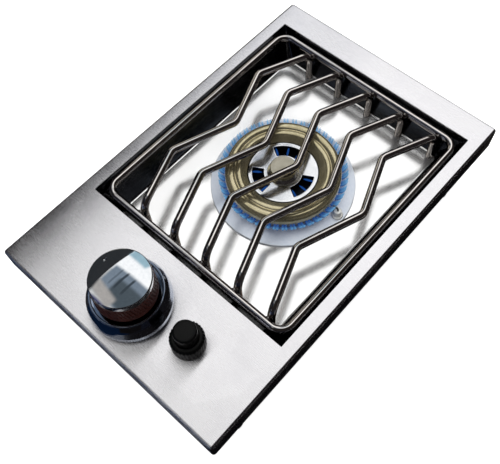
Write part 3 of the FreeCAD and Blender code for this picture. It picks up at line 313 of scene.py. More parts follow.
looks = {
    # 304 stainless sheet, brushed across: pale, soft streaks that smear what it mirrors along the plate
    "brushed_steel_plate": metal(
        "brushed stainless 304", pale="#E6E5E7", dark="#D2D1D4", rough=(0.22, 0.3),
        grain=(9.0, 0.35, 0.35), cloud=34, bump=0.003, stretch=1.0, brushed="along"),
    # the same steel pressed into the pan and left brighter: soft and slightly milky images of the rods
    "polished_steel": metal(
        "bright annealed stainless", metallic=0.88, pale="#F2F2F1", dark="#E4E4E4", rough=(0.15, 0.24),
        grain=(7.0, 0.5, 0.5), cloud=40, bump=0.008),
    # the pan's walls, a dark mirror: the pan's own steel made darker as painted shade and painted dark
    # reflection in the recess, and darker still seen along the wall, where its dark glancing tint paints more
    # shade
    "wall": metal(
        "stainless darkened for painted shade", pale="#5E6064", dark="#46484C", rough=(0.12, 0.2), grain=(6.0, 6.0, 0.8),
        cloud=45, bump=0.006, edge="#1A1A1C"),
    # turned stainless of the disc and boss: a clean mirror with fine turning marks
    "disc": metal(
        "polished turned stainless", pale="#DADBDC", dark="#C4C6C8", rough=(0.12, 0.17),
        grain=(1.2, 1.2, 1.2), cloud=12, bump=0.003, stretch=0.6, brushed="round"),
    # round stainless bar, buffed to a mirror: hard white line on a dark bar; its dark glancing tint paints
    # shade along the bar's edges
    "grate_rod_steel": metal(
        "buffed stainless bar", pale="#D2CDC9", dark="#BEB8B4", rough=(0.0, 0.0), grain=(0.6, 0.6, 0.6),
        cloud=14, bump=0.0, edge="#5A4E48"),
    # cast brass, turned and polished, a little dulled by heat: khaki gold with cream highlights
    "brass": metal(
        "turned cast brass", metallic=0.8, pale="#C4BA9A", dark="#A39A7A", rough=(0.15, 0.22),
        grain=(1.6, 1.6, 0.5), cloud=18, bump=0.006),
    # the brass cap's top, linished: dull khaki with fine scratches
    "cap_brass": metal(
        "linished brass", pale="#A8A496", dark="#8A8678", rough=(0.3, 0.44), grain=(0.4, 6.0, 0.4),
        cloud=9, bump=0.01),
    # aluminium casting: grey satin with a fine sand grain
    "cast_aluminium": metal(
        "sand-cast aluminium", pale="#B9BCBF", dark="#9DA1A5", rough=(0.38, 0.52), grain=(0.9, 0.9, 0.9),
        cloud=12, bump=0.05),
    # the casting under the disc, made near black: painted shade in the burner's hollow, seen through the
    # disc's windows
    "crown": metal(
        "casting darkened for painted shade", pale="#23272E", dark="#0F1116", rough=(0.3, 0.45), grain=(0.9, 0.9, 0.9),
        cloud=12, bump=0.03),
    # aluminium pressing, turned: pale blue-grey satin, more matt than mirror; its blue cast is painted blue
    # light from the flames
    "turned_aluminium": metal(
        "satin aluminium", metallic=0.25, pale="#EEF3FA", dark="#DEE6F1", rough=(0.28, 0.36),
        grain=(2.4, 2.4, 0.4), cloud=26, bump=0.001, stretch=0.7, brushed="round"),
    # bright chrome plate over zinc casting: a clean mirror
    "chrome": metal(
        "bright chrome plate", pale="#D4D6D8", dark="#C6C9CC", rough=(0.0, 0.0), grain=(3.0, 3.0, 3.0),
        cloud=20, bump=0.0),
    # the bezel's chrome, made darker with a cold cast as a painted dark blue reflection: a clean mirror
    "bezel": metal(
        "chrome darkened for painted reflection", pale="#9AA3B2", dark="#8A93A3", rough=(0.0, 0.0), grain=(3.0, 3.0, 3.0),
        cloud=20, bump=0.0),
    # zinc-plated steel fixings: bluish grey, slightly cloudy
    "zinc_steel": metal(
        "zinc-plated steel", pale="#B8BEC4", dark="#9AA1A8", rough=(0.24, 0.38), grain=(0.8, 0.8, 0.8),
        cloud=7, bump=0.008),
    # hot-dip galvanised sheet, matt with zinc oxide: grey with soft crystal spangle
    "galvanised_sheet": metal(
        "galvanised sheet", metallic=0.4, pale="#BFC3C6", dark="#9EA3A8", rough=(0.32, 0.48),
        grain=(5.0, 5.0, 5.0), cloud=16, bump=0.01),
    # bar-stock brass of the gas fittings: plain yellow, machined
    "plain_brass": metal(
        "machined brass bar", pale="#CDB36A", dark="#B0954E", rough=(0.2, 0.32), grain=(0.5, 4.0, 0.5),
        cloud=12, bump=0.006),
    # drawn spring wire: dark steel grey
    "spring_steel": metal(
        "drawn spring steel", pale="#8A8D90", dark="#6E7174", rough=(0.25, 0.35), grain=(0.6, 0.6, 2.0),
        cloud=6, bump=0.004),
    # heat-proof electrode wire, greyed by sparks
    "electrode_wire": metal(
        "nickel alloy wire", pale="#77797C", dark="#4C4E52", rough=(0.3, 0.45), grain=(0.5, 0.5, 0.5),
        cloud=3, bump=0.006),
    # the cell's printed steel can, left bare
    "cell_jacket": metal(
        "plain steel can", pale="#9EA2A6", dark="#7F8388", rough=(0.3, 0.4), grain=(0.6, 0.6, 5.0),
        cloud=10, bump=0.004),
    # glazed white porcelain of the electrode
    "porcelain": plastic(
        "glazed porcelain", ior=1.5, pale="#F1F0EB", dark="#DFDDD6", rough=(0.12, 0.25), grain=1.5,
        cloud=5, bump=0.01, coat=0.6, coatRough=0.08),
    # moulded phenolic grip: dark red-brown, worn to a low shine on the ribs
    "dark_grip": plastic(
        "moulded phenolic", ior=1.5, pale="#4A1D14", dark="#2A0F0B", rough=(0.34, 0.48), grain=0.5,
        cloud=6, bump=0.02),
    # black nylon of the igniter: soft gloss, very fine grain
    "black_plastic": plastic(
        "black moulded nylon", ior=1.46, sheen=0.14, pale="#060707", dark="#030303", rough=(0.3, 0.42),
        grain=0.35, cloud=8, bump=0.015),
    # silicone rubber jacket of the spark lead
    "silicone_lead": plastic(
        "silicone rubber", ior=1.41, pale="#7A2A22", dark="#5C1D18", rough=(0.45, 0.6), grain=0.8,
        cloud=9, bump=0.01),
    # natural nylon of the lead clips
    "nylon": plastic(
        "natural nylon", ior=1.53, pale="#E4E0D2", dark="#D2CCB9", rough=(0.35, 0.5), grain=0.6, cloud=6,
        bump=0.01),
}


for node in parts.values():  # every CAD solid keeps its slot and gets the slot's real finish
    slotName = node.material_slots[0].material.name.split(".")[0]
    node.material_slots[0].material = looks[slotName]
# the casting under the disc gets the near-black finish instead of its slot's: painted shade in the burner's
# hollow
parts["inner_crown"].material_slots[0].material = looks["crown"]
print("materials ready:", len(looks))


# all pieces are modelled in mm, and scaled to metres when they are finished
hair = 0.01  # mm, closer than this is touching
flat = 0.9  # a normal this long along an axis faces along it


def selectOnly(*pieces):  # the last one becomes active; with none, everything is let go
    bpy.ops.object.select_all(action="DESELECT")
    for piece in pieces:
        piece.select_set(True)
        bpy.context.view_layer.objects.active = piece


def startEdit(name, scale=(1, 1, 1)):  # the new primitive gets its place and size in its mesh
    piece = bpy.context.object
    piece.name, piece.scale = name, scale
    bpy.ops.object.transform_apply(location=True, rotation=True, scale=True)
    bpy.ops.object.mode_set(mode="EDIT")
    bpy.ops.mesh.select_mode(type="VERT")
    bpy.ops.mesh.select_all(action="SELECT")
    return piece


def editAgain(piece):
    selectOnly(piece)
    bpy.ops.object.mode_set(mode="EDIT")
    return bmesh.from_edit_mesh(piece.data)


def endEdit():
    bpy.ops.object.mode_set(mode="OBJECT")


def extrude(move=(0, 0, 0)):
    bpy.ops.mesh.extrude_region_move(TRANSFORM_OT_translate={"value": move})


def pickFaces(piece, test):  # test gets each face's centre and normal
    bpy.ops.mesh.select_mode(type="FACE")
    bpy.ops.mesh.select_all(action="DESELECT")
    mesh = bmesh.from_edit_mesh(piece.data)
    for face in mesh.faces:
        if test(face.calc_center_median(), face.normal):
            face.select_set(True)
    bmesh.update_edit_mesh(piece.data)


def pickEdges(piece, test):  # test gets the edge's two ends
    bpy.ops.mesh.select_mode(type="EDGE")
    bpy.ops.mesh.select_all(action="DESELECT")
    mesh = bmesh.from_edit_mesh(piece.data)
    for edge in mesh.edges:
        if test(edge.verts[0].co, edge.verts[1].co):
            edge.select_set(True)
    bmesh.update_edit_mesh(piece.data)


def closeAndTurnOut(gap=0.0005):
    bpy.ops.mesh.select_mode(type="VERT")
    bpy.ops.mesh.select_all(action="SELECT")
    bpy.ops.mesh.remove_doubles(threshold=gap)
    bpy.ops.mesh.normals_make_consistent(inside=False)


def polar(point, axis):  # reach and angle round an upright axis
    x, y = point.x - axis[0], point.y - axis[1]
    return math.hypot(x, y), math.atan2(y, x)


def addModifier(piece, kind, settings):
    selectOnly(piece)
    modifier = piece.modifiers.new(kind.title(), kind)
    for key, value in settings.items():
        setattr(modifier, key, value)
    bpy.ops.object.modifier_apply(modifier=modifier.name)


def easeEdges(piece, width, steps, angle):  # rounds what is sharper than angle degrees
    addModifier(piece, "BEVEL", {"width": width, "segments": steps, "limit_method": "ANGLE",
                                 "angle_limit": math.radians(angle)})


def thicken(piece, sheet):  # the modelled side is the sheet's upper one
    if max(piece.data.polygons, key=lambda face: face.area).normal.z < 0:
        piece.data.flip_normals()
    addModifier(piece, "SOLIDIFY", {"thickness": sheet, "offset": -1, "use_even_offset": True})


def cutAway(piece, cutter):
    addModifier(piece, "BOOLEAN", {"operation": "DIFFERENCE", "solver": "EXACT", "object": cutter})
    bpy.data.objects.remove(cutter)


def roundCutter(x, y, low, high, radius, segments=64):
    bpy.ops.mesh.primitive_cylinder_add(vertices=segments, radius=radius, depth=high - low,
                                        location=(x, y, (low + high) / 2))
    return bpy.context.object


def planUv(piece):  # a plan of the sheet, so that the brushing has a direction
    layer = piece.data.uv_layers.new(name="plan")
    for loop in piece.data.loops:
        place = piece.data.vertices[loop.vertex_index].co
        layer.data[loop.index].uv = (place.x, place.y)


def joinAll(piece, others):
    selectOnly(*others, piece)
    bpy.ops.object.join()
    return piece


def finishPiece(piece, finish, body="housing", stands=(), look=None, smooth=32):
    selectOnly(piece)
    piece.scale = (0.001, 0.001, 0.001)
    bpy.ops.object.transform_apply(location=False, rotation=False, scale=True)
    bpy.ops.object.shade_smooth_by_angle(angle=math.radians(smooth))
    addModifier(piece, "WEIGHTED_NORMAL", {"keep_sharp": True})
    piece.data.materials.clear()
    piece.data.materials.append(look or looks[finish])
    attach(piece, body)
    if stands:
        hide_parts(*stands)


def turned(name, axis, steps, segments=96, solid=False, roundSteps=5):
    # a step is (radius, height) or (radius, height, rounding); solid fills the ends, else it is a closed ring
    selectOnly()
    bpy.ops.mesh.primitive_circle_add(vertices=segments, radius=steps[0][0],
                                      fill_type="NGON" if solid else "NOTHING", location=(*axis, steps[0][1]))
    piece = startEdit(name)
    radius, height = steps[0][:2]
    path = list(steps[1:]) if solid else [*steps[1:], steps[0]]
    for step in path:
        extrude((0, 0, step[1] - height))
        grow = step[0] / radius
        bpy.ops.transform.resize(value=(grow, grow, 1), center_override=(*axis, step[1]))
        radius, height = step[:2]
    closeAndTurnOut()
    count = len(steps)
    for index, step in enumerate(steps):
        if len(step) < 3:
            continue
        before, after = steps[index - 1], steps[(index + 1) % count]
        if solid and index == count - 1:
            after = (0, step[1])
        come = Vector((step[0] - before[0], step[1] - before[1]))
        leave = Vector((after[0] - step[0], after[1] - step[1]))
        offset = step[2] * math.tan(come.angle(leave) / 2)

        def onRing(a, b, step=step):
            return all(abs(polar(v, axis)[0] - step[0]) < hair and abs(v.z - step[1]) < hair for v in (a, b))

        pickEdges(piece, onRing)
        bpy.ops.mesh.bevel(offset=offset, offset_type="OFFSET", segments=roundSteps, clamp_overlap=False)
    endEdit()
    return piece


def bentRod(name, points, bends, radius, segments=20, turnSteps=8, closed=False):
    corners = [Vector(point) for point in points]
    way = (corners[1] - corners[0]).normalized()
    selectOnly()
    bpy.ops.mesh.primitive_circle_add(vertices=segments, radius=radius, location=corners[0],
                                      fill_type="NOTHING" if closed else "NGON",
                                      rotation=way.to_track_quat("Z", "Y").to_euler())
    piece = startEdit(name)
    here = corners[0]
    for index, bend in enumerate(bends):
        corner = corners[index + 1]
        after = (corners[index + 2] - corner).normalized()
        turn = way.angle(after)
        setBack = bend * math.tan(turn / 2)
        runEnd = corner - way * setBack
        extrude(runEnd - here)
        side = (after - way * after.dot(way)).normalized()
        bpy.ops.mesh.spin(steps=turnSteps, angle=-turn, center=runEnd + side * bend,
                          axis=way.cross(after).normalized())
        here = corner + after * setBack
        way = after
    extrude(corners[-1] - here)
    closeAndTurnOut(gap=0.002)
    endEdit()
    return piece


def copyPiece(piece, name, turn, centre):
    twin = piece.copy()
    twin.data = piece.data.copy()
    twin.name = name
    bpy.context.scene.collection.objects.link(twin)
    pivot = Matrix.Translation((*centre, 0))
    twin.data.transform(pivot @ Matrix.Rotation(turn, 4, "Z") @ pivot.inverted())
    return twin


plate = {  # folded sheet: holes are x, y and radius, an edge is its rounding, its steps and its least angle
    "half": (152.5, 236.0), "top": 110.0, "drop": 30.0, "lip": 10.0, "bend": 3.5, "bendSteps": 6,
    "opening": (136.0, 161.0), "openingY": 40.5, "sheet": 1.2, "cutEdge": (0.22, 2, 50),
    "holes": [(-8.0, -184.5, 11.0), (66.5, -177.6, 12.75)], "punch": 5.0,
}


def makePlate(look):
    (halfX, halfY), (openX, openY), centreY = look["half"], look["opening"], look["openingY"]
    top, low = look["top"], look["top"] - look["drop"]
    selectOnly()
    bpy.ops.mesh.primitive_plane_add(size=1, location=(0, 0, top))
    piece = startEdit("top_plate", (2 * halfX, 2 * halfY, 1))
    for place, normal in (((-openX, 0, 0), (1, 0, 0)), ((openX, 0, 0), (1, 0, 0)),
                          ((0, centreY - openY, 0), (0, 1, 0)), ((0, centreY + openY, 0), (0, 1, 0))):
        bpy.ops.mesh.select_all(action="SELECT")
        bpy.ops.mesh.bisect(plane_co=place, plane_no=normal)
    pickFaces(piece, lambda centre, normal: abs(centre.x) < openX and abs(centre.y - centreY) < openY)
    bpy.ops.mesh.delete(type="FACE")

    def outside(a, b):
        return abs(a.x) == abs(b.x) == halfX or abs(a.y) == abs(b.y) == halfY

    pickEdges(piece, outside)
    extrude((0, 0, low - top))
    extrude()
    bpy.ops.transform.resize(value=(1 - look["lip"] / halfX, 1 - look["lip"] / halfY, 1),
                             center_override=(0, 0, low))

    def folded(a, b):  # the upper border and the four upright corners
        if min(a.z, b.z) > top - hair:
            return outside(a, b)
        return max(a.z, b.z) > top - hair and all(abs(v.x) > halfX - hair and abs(v.y) > halfY - hair
                                                  for v in (a, b))

    pickEdges(piece, folded)
    bpy.ops.mesh.bevel(offset=look["bend"], segments=look["bendSteps"], clamp_overlap=False)
    closeAndTurnOut()
    endEdit()
    thicken(piece, look["sheet"])
    for x, y, radius in look["holes"]:
        cutAway(piece, roundCutter(x, y, top - look["punch"], top + look["punch"], radius))
    easeEdges(piece, *look["cutEdge"])
    planUv(piece)
    finishPiece(piece, "brushed_steel_plate", stands=["top_flange"])


makePlate(plate)

pan = {  # pressed sheet: a rounded floor, four sloping walls and a rim under the plate
    "floor": 72.0, "rim": 108.8, "floorHalf": (114.5, 146.3), "topHalf": (136.0, 161.0), "centreY": 40.5,
    "floorCorner": 9.0, "topCorner": 1.0, "cornerSteps": 7, "fold": 2.2, "foldSteps": 4, "rimWidth": 6.0,
    "sheet": 0.8, "holes": [(0.0, 40.5, 49.55), (75.4, 46.5, 4.45)], "punch": 6.0,
    "walls": (72.6, 108.4),  # the heights between which the walls have their own darker finish, a painted shade
}


def makePan(look):
    floor, rim, centreY = look["floor"], look["rim"], look["centreY"]
    selectOnly()
    bpy.ops.mesh.primitive_plane_add(size=1, location=(0, centreY, rim))
    piece = startEdit("cooking_recess", (2 * look["topHalf"][0], 2 * look["topHalf"][1], 1))
    bpy.ops.mesh.bevel(offset=look["topCorner"], segments=look["cornerSteps"], affect="VERTICES",
                       clamp_overlap=False)
    bpy.ops.mesh.select_mode(type="FACE")
    bpy.ops.mesh.delete(type="ONLY_FACE")
    bpy.ops.mesh.primitive_plane_add(size=1, location=(0, centreY, floor))
    width, depth = look["floorHalf"]
    bpy.ops.transform.resize(value=(2 * width, 2 * depth, 1), center_override=(0, centreY, floor))
    bpy.ops.mesh.bevel(offset=look["floorCorner"], segments=look["cornerSteps"], affect="VERTICES",
                       clamp_overlap=False)

    def onLevel(height):
        return lambda a, b: abs(a.z - height) < hair and abs(b.z - height) < hair

    pickEdges(piece, lambda a, b: abs(a.z - b.z) < hair)
    bpy.ops.mesh.bridge_edge_loops()
    pickEdges(piece, onLevel(rim))
    extrude()
    grow = [1 + look["rimWidth"] / size for size in look["topHalf"]]
    bpy.ops.transform.resize(value=(*grow, 1), center_override=(0, centreY, rim))
    pickEdges(piece, onLevel(floor))
    bpy.ops.mesh.bevel(offset=look["fold"], segments=look["foldSteps"], clamp_overlap=False)
    closeAndTurnOut()
    endEdit()
    thicken(piece, look["sheet"])
    for x, y, radius in look["holes"]:
        cutAway(piece, roundCutter(x, y, floor - look["punch"], floor + look["punch"], radius))
    planUv(piece)
    finishPiece(piece, "polished_steel", stands=["recess_pan"])
    piece.data.materials.append(looks["wall"])
    low, high = [height / 1000 for height in look["walls"]]
    for face in piece.data.polygons:  # the sloping walls get a second, darker finish on the same sheet: painted shade and painted dark reflection
        if low < face.center.z < high and abs(face.normal.z) < flat:
            face.material_index = 1


makePan(pan)
print("plate and pan made")

grate = {  # a rod loop and five zigzag rods with legs
    "radius": 4.5, "sides": 28, "railHalf": (128.22, 150.55), "railZ": 105.0, "railCorner": 15.0,
    "railSteps": 12, "rods": 5, "rodZ": 112.0, "footZ": 72.0, "centreY": 40.5, "pitch": 46.11, "zigzag": 14.0,
    "ends": (-101.0, 182.0), "kinks": (-29.0, 47.3, 118.4), "kinkBend": 12.0, "legBend": 13.0, "bendSteps": 9,
    "footInset": 0.6, "footEdge": 0.5, "legSlack": 0.05, "smooth": 50,
    # weld metal in the groove between a leg and the rail: a small rippled saddle
    "bead": {"size": 2.6, "squash": (1.25, 0.55, 1.25), "ripple": 0.8, "rise": 0.12},
}


def makeGrate(look):
    halfX, halfY = look["railHalf"]
    centreY, z, radius = look["centreY"], look["railZ"], look["radius"]
    front, back = centreY - halfY, centreY + halfY
    loop = [(-halfX, centreY, z), (-halfX, back, z), (halfX, back, z), (halfX, front, z), (-halfX, front, z),
            (-halfX, centreY, z)]
    rail = bentRod("grate_loop", loop, [look["railCorner"]] * 4, radius, segments=look["sides"],
                   turnSteps=look["railSteps"], closed=True)
    beads = []
    first, last = look["ends"]
    low, middle, high = look["kinks"]
    rodZ, footZ = look["rodZ"], look["footZ"]
    for index in range(look["rods"]):
        x = (index - (look["rods"] - 1) / 2) * look["pitch"]
        left, right = x - look["zigzag"], x + look["zigzag"]
        points = [(right, first, footZ), (right, first, rodZ), (left, low, rodZ), (right, middle, rodZ),
                  (left, high, rodZ), (right, last, rodZ), (right, last, footZ)]
        bends = [look["legBend"], *[look["kinkBend"]] * len(look["kinks"]), look["legBend"]]
        rod = bentRod(f"grate_bar_{index + 1}", points, bends, radius, segments=look["sides"],
                      turnSteps=look["bendSteps"])
        editAgain(rod)
        pickFaces(rod, lambda centre, normal: centre.z < footZ + hair)
        bpy.ops.mesh.inset(thickness=look["footInset"])

        def footBorder(a, b):
            return max(a.z, b.z) < footZ + hair and all(
                abs(polar(v, (right, first if v.y < centreY else last))[0] - radius) < look["legSlack"]
                for v in (a, b))

        pickEdges(rod, footBorder)
        bpy.ops.mesh.bevel(offset=look["footEdge"], segments=2, clamp_overlap=False)
        closeAndTurnOut()
        endEdit()
        finishPiece(rod, "grate_rod_steel", "grate", [f"grate_rod_{index + 1}"], smooth=look["smooth"])
        for y, railY in ((first, front), (last, back)):
            beads.append(makeBead((right, (y + railY) / 2, z), look["bead"]))
    finishPiece(joinAll(rail, beads), "grate_rod_steel", "grate", ["grate_rail"], smooth=look["smooth"])


def makeBead(place, look):
    size = look["size"]
    selectOnly()
    bpy.ops.mesh.primitive_uv_sphere_add(segments=16, ring_count=10, radius=size, location=place)
    bead = startEdit("weld_bead")
    bpy.ops.transform.resize(value=look["squash"], center_override=place)
    pickFaces(bead, lambda centre, normal: int((centre.z - place[2] + size) / look["ripple"]) % 2 == 0)
    bpy.ops.transform.shrink_fatten(value=look["rise"])
    endEdit()
    return bead


makeGrate(grate)
print("grate made")

burner = {  # outlines run through (reach from the axis, height, rounding where there is one)
    "axis": (0.0, 40.5),
    "trim": [(84.0, 72.0), (84.0, 74.6, 0.8), (58.0, 77.5), (51.0, 77.5), (51.0, 76.7), (58.0, 76.7),
             (83.2, 73.8), (83.2, 72.0)],
    "electrodeHole": (75.4, 46.5, 60.0, 90.0, 6.75),
    "ports": 45, "portWidth": 2.4, "portDepth": 5.5, "portRing": (54.0, 62.0, 77.5, 86.5), "portSlack": 0.1,
    "portEdge": (0.25, 1, 60),
    "brass": [(54.0, 86.5), (66.2, 86.5, 6.0), (66.2, 102.4, 6.2), (57.3, 102.4, 5.5), (54.6, 99.6, 1.2),
              (52.6, 101.4, 3.8), (49.0, 101.4, 3.8), (41.0, 94.8), (41.0, 90.1), (54.0, 90.1)],
    "disc": (93.6, 94.8), "discRings": (2.55, 19.0, 22.0, 35.5, 37.3, 39.7), "discEdge": (0.3, 2, 50),
    "windows": 3, "windowRings": (22.0, 35.5), "windowAngle": 60,
    "hub": [(2.55, 94.8), (19.0, 94.8, 0.5), (14.0, 99.0, 3.0), (2.55, 99.0)],
    "cap": [(2.5, 73.0), (2.5, 99.0), (15.0, 99.0, 1.0), (15.0, 105.0, 1.0)], "capFace": 104.5,
}


def makeTrim(look):
    piece = turned("trim_dish", look["axis"], look["trim"], segments=128, roundSteps=3)
    cutAway(piece, roundCutter(*look["electrodeHole"]))
    finishPiece(piece, "turned_aluminium", stands=["trim_ring"])


def makePorts(look):  # a ring whose top is notched by many narrow gas ports
    x, y = axis = look["axis"]
    inner, outer, low, high = look["portRing"]
    notch = high - look["portDepth"]
    count, slack = look["ports"], look["portSlack"]
    piece = turned("notched_port_ring", axis, [(inner, low), (outer, low), (outer, notch), (inner, notch)],
                   segments=2 * count)
    half = math.degrees(math.asin(look["portWidth"] / 2 / ((inner + outer) / 2)))
    step = 180 / count  # the circle's own spacing; every second corner is turned to leave narrow notches
    mesh = editAgain(piece)
    for vertex in mesh.verts:
        reach, angle = polar(vertex.co, axis)
        index = round(math.degrees(angle) / step) % (2 * count)
        middle = (index // 2) * 2 * step
        angle = math.radians(middle - half if index % 2 == 0 else middle + half)
        vertex.co.x, vertex.co.y = x + reach * math.cos(angle), y + reach * math.sin(angle)
    bmesh.update_edit_mesh(piece.data)

    def isTooth(centre, normal):
        angle = math.degrees(polar(centre, axis)[1]) % (2 * step)
        return normal.z > flat and centre.z > notch - slack and half + slack < angle < 2 * step - half - slack

    pickFaces(piece, isTooth)
    extrude((0, 0, high - notch))
    endEdit()
    easeEdges(piece, *look["portEdge"])
    finishPiece(piece, "cast_aluminium", stands=["port_ring"])


def makeDisc(look):
    low, high = look["disc"]
    rings, middle = look["discRings"], (*look["axis"], high)
    selectOnly()
    bpy.ops.mesh.primitive_circle_add(vertices=144, radius=rings[0], fill_type="NOTHING", location=middle)
    piece = startEdit("window_plate")
    for before, after in zip(rings, rings[1:]):
        extrude()
        bpy.ops.transform.resize(value=(after / before, after / before, 1), center_override=middle)
    near, far = look["windowRings"]
    spacing = 360 / look["windows"]

    def inWindow(centre, normal):
        reach, angle = polar(centre, look["axis"])
        angle = math.degrees(angle) % spacing
        return min(angle, spacing - angle) < look["windowAngle"] / 2 and near < reach < far

    pickFaces(piece, inWindow)
    bpy.ops.mesh.delete(type="FACE")
    closeAndTurnOut()
    endEdit()
    thicken(piece, high - low)
    easeEdges(piece, *look["discEdge"])
    finishPiece(piece, "polished_steel", stands=["window_disc"], look=looks["disc"])


def makeBurner(look):
    axis = look["axis"]
    makeTrim(look)
    makePorts(look)
    ring = turned("brass_ring", axis, look["brass"], segments=160, roundSteps=8)
    finishPiece(ring, "brass", "flame_ring", ["brass_burner_ring"], smooth=40)
    makeDisc(look)
    hub = turned("steel_boss", axis, look["hub"], segments=96, roundSteps=6)
    finishPiece(hub, "polished_steel", stands=["steel_hub"], look=looks["disc"])
    cap = turned("brass_cap", axis, look["cap"], segments=96, solid=True, roundSteps=4)
    finishPiece(cap, "brass", stands=["centre_cap"])
    cap.data.materials.append(looks["cap_brass"])
    for face in cap.data.polygons:
        if face.normal.z > flat and face.center.z > look["capFace"] / 1000:
            face.material_index = 1


makeBurner(burner)

electrode = {
    "axis": (75.4, 46.5),
    "ceramic": [(1.15, 58.0), (4.4, 58.0, 0.6), (4.4, 72.0), (6.4, 72.0), (6.4, 76.7, 1.0), (4.4, 76.7),
                (4.4, 85.0, 1.0), (1.15, 85.0)],
    "pin": [(75.4, 46.5, 58.0), (75.4, 46.5, 88.5), (68.9, 46.5, 89.0)], "pinBend": 3.0, "pinRadius": 1.1,
    "tipInset": 0.35, "tipBulge": 0.15,
}


def makeElectrode(look):
    body = turned("electrode_porcelain", look["axis"], look["ceramic"], segments=40, roundSteps=4)
    finishPiece(body, "porcelain", stands=["spark_ceramic"])
    pin = bentRod("electrode_tip", look["pin"], [look["pinBend"]], look["pinRadius"], segments=16)
    editAgain(pin)
    pickFaces(pin, lambda centre, normal: normal.x < -flat)
    bpy.ops.mesh.inset(thickness=look["tipInset"])
    bpy.ops.transform.translate(value=(-look["tipBulge"], 0, 0))
    endEdit()
    finishPiece(pin, "electrode_wire", stands=["spark_pin"], smooth=50)


makeElectrode(electrode)
print("burner made")

def sinkGrooves(piece, look, lean=0):  # every second strip of the band sinks, which leaves the ribs standing
    low, high = look["ribBand"]
    pitch = 2 * math.pi / look["ribs"]
    editAgain(piece)

    def inGroove(centre, normal):
        reach, angle = polar(centre, look["axis"])
        outside = low < centre.z < high and reach > look["ribFoot"] and abs(normal.z) < flat
        return outside and (angle + lean) % pitch > pitch / 2

    pickFaces(piece, inGroove)
    bpy.ops.mesh.inset(thickness=look["ribInset"], depth=-look["ribDepth"], use_boundary=True)
    endEdit()
    easeEdges(piece, *look["ribEdge"])


knob = {  # ribs: their number, the band they fill, its least reach, and how each groove is sunk and eased
    "axis": (-8.0, -184.5), "ribs": 56, "ribBand": (145.0, 161.1), "ribFoot": 30.0, "ribInset": 0.3,
    "ribDepth": 0.9, "ribEdge": (0.16, 1, 35), "ribLean": 8.0,
    "grip": [(29.4, 139.0), (32.4, 139.0, 0.6), (32.3, 145.0), (31.6, 161.6), (8.0, 161.6), (8.0, 158.6),
             (27.5, 158.6)],
    # the cap: its rim, and a shallow dome between two radii, of one large radius itself
    "capRim": [(31.0, 161.6), (31.0, 169.1, 1.5)], "crown": 171.5, "domeRadius": 200.0, "domeSteps": 14,
    "domeEdge": 29.9, "domeMiddle": 0.4,
    "dimple": {"reach": 24.7, "angle": 172.0, "z": 172.07, "radius": 2.99},  # the ball that presses it in
    "bezel": [(43.0, 110.0), (43.6, 118.0, 6.0), (41.6, 130.0, 12.0), (38.0, 137.5, 1.2), (35.2, 137.5, 1.2),
              (35.2, 131.0), (11.0, 131.0, 0.4), (11.0, 129.2), (35.2, 129.2), (41.8, 118.0), (41.2, 110.0)],
}


def makeKnob(look):
    axis, high = look["axis"], look["ribBand"][1]
    # the grip: a wall of leaning ribs over a plain skirt
    grip = turned("knob_grip", axis, look["grip"], segments=4 * look["ribs"], roundSteps=3)
    mesh = editAgain(grip)
    bpy.ops.mesh.select_mode(type="VERT")
    bpy.ops.mesh.select_all(action="DESELECT")
    for vertex in mesh.verts:
        vertex.select_set(vertex.co.z > high)
    mesh.select_flush(True)
    lean = math.radians(look["ribLean"])
    bpy.ops.transform.rotate(value=lean, orient_axis="Z", center_override=(*axis, high))
    endEdit()
    sinkGrooves(grip, look, lean / 2)
    finishPiece(grip, "dark_grip", "knob", ["knob_body"], smooth=35)

    steps, middle = look["domeSteps"], look["domeMiddle"]
    dome = [(look["domeEdge"] - middle) * (1 - step / steps) + middle for step in range(steps + 1)]
    rise = [(radius, look["crown"] - radius ** 2 / (2 * look["domeRadius"])) for radius in dome]
    cap = turned("knob_face", axis, look["capRim"] + rise, segments=128, solid=True, roundSteps=6)
    dimple = look["dimple"]
    reach, angle = dimple["reach"], math.radians(dimple["angle"])
    place = axis[0] + reach * math.cos(angle), axis[1] + reach * math.sin(angle), dimple["z"]
    selectOnly()
    bpy.ops.mesh.primitive_uv_sphere_add(segments=32, ring_count=16, radius=dimple["radius"], location=place)
    cutAway(cap, bpy.context.object)
    finishPiece(cap, "chrome", "knob", ["knob_cap"], smooth=25)

    bezel = turned("chrome_bezel", axis, look["bezel"], segments=160, roundSteps=10)
    finishPiece(bezel, "chrome", stands=["knob_bezel"], smooth=35, look=looks["bezel"])


makeKnob(knob)

igniter = {
    "axis": (66.5, -177.6), "ribs": 30, "ribBand": (115.0, 130.0), "ribFoot": 15.5, "ribInset": 0.35,
    "ribDepth": 0.6, "ribEdge": (0.16, 1, 35),
    "collar": [(12.45, 110.0), (17.6, 110.0, 0.4), (17.6, 115.0), (17.6, 131.0, 4.0), (12.15, 131.0, 0.5),
               (12.15, 128.4), (12.45, 128.4)],
    "button": [(8.0, 118.75), (8.0, 125.75), (12.1, 125.75), (12.1, 128.35), (11.8, 128.35), (11.8, 136.5),
               (11.1, 136.7), (11.1, 137.3), (11.8, 137.5), (11.8, 140.0), (11.1, 140.2), (11.1, 140.8),
               (11.8, 141.0), (11.8, 148.0, 2.2), (9.2, 148.0), (8.9, 147.85), (8.6, 148.0), (0.5, 148.05)],
}


def makeIgniter(look):
    collar = turned("igniter_skirt", look["axis"], look["collar"], segments=4 * look["ribs"])
    sinkGrooves(collar, look)
    finishPiece(collar, "black_plastic", "igniter_cap", ["igniter_collar"], smooth=35)
    button = turned("igniter_push", look["axis"], look["button"], solid=True)
    finishPiece(button, "black_plastic", "igniter_push", ["igniter_button"], smooth=28)


makeIgniter(igniter)
print("knob and igniter made")

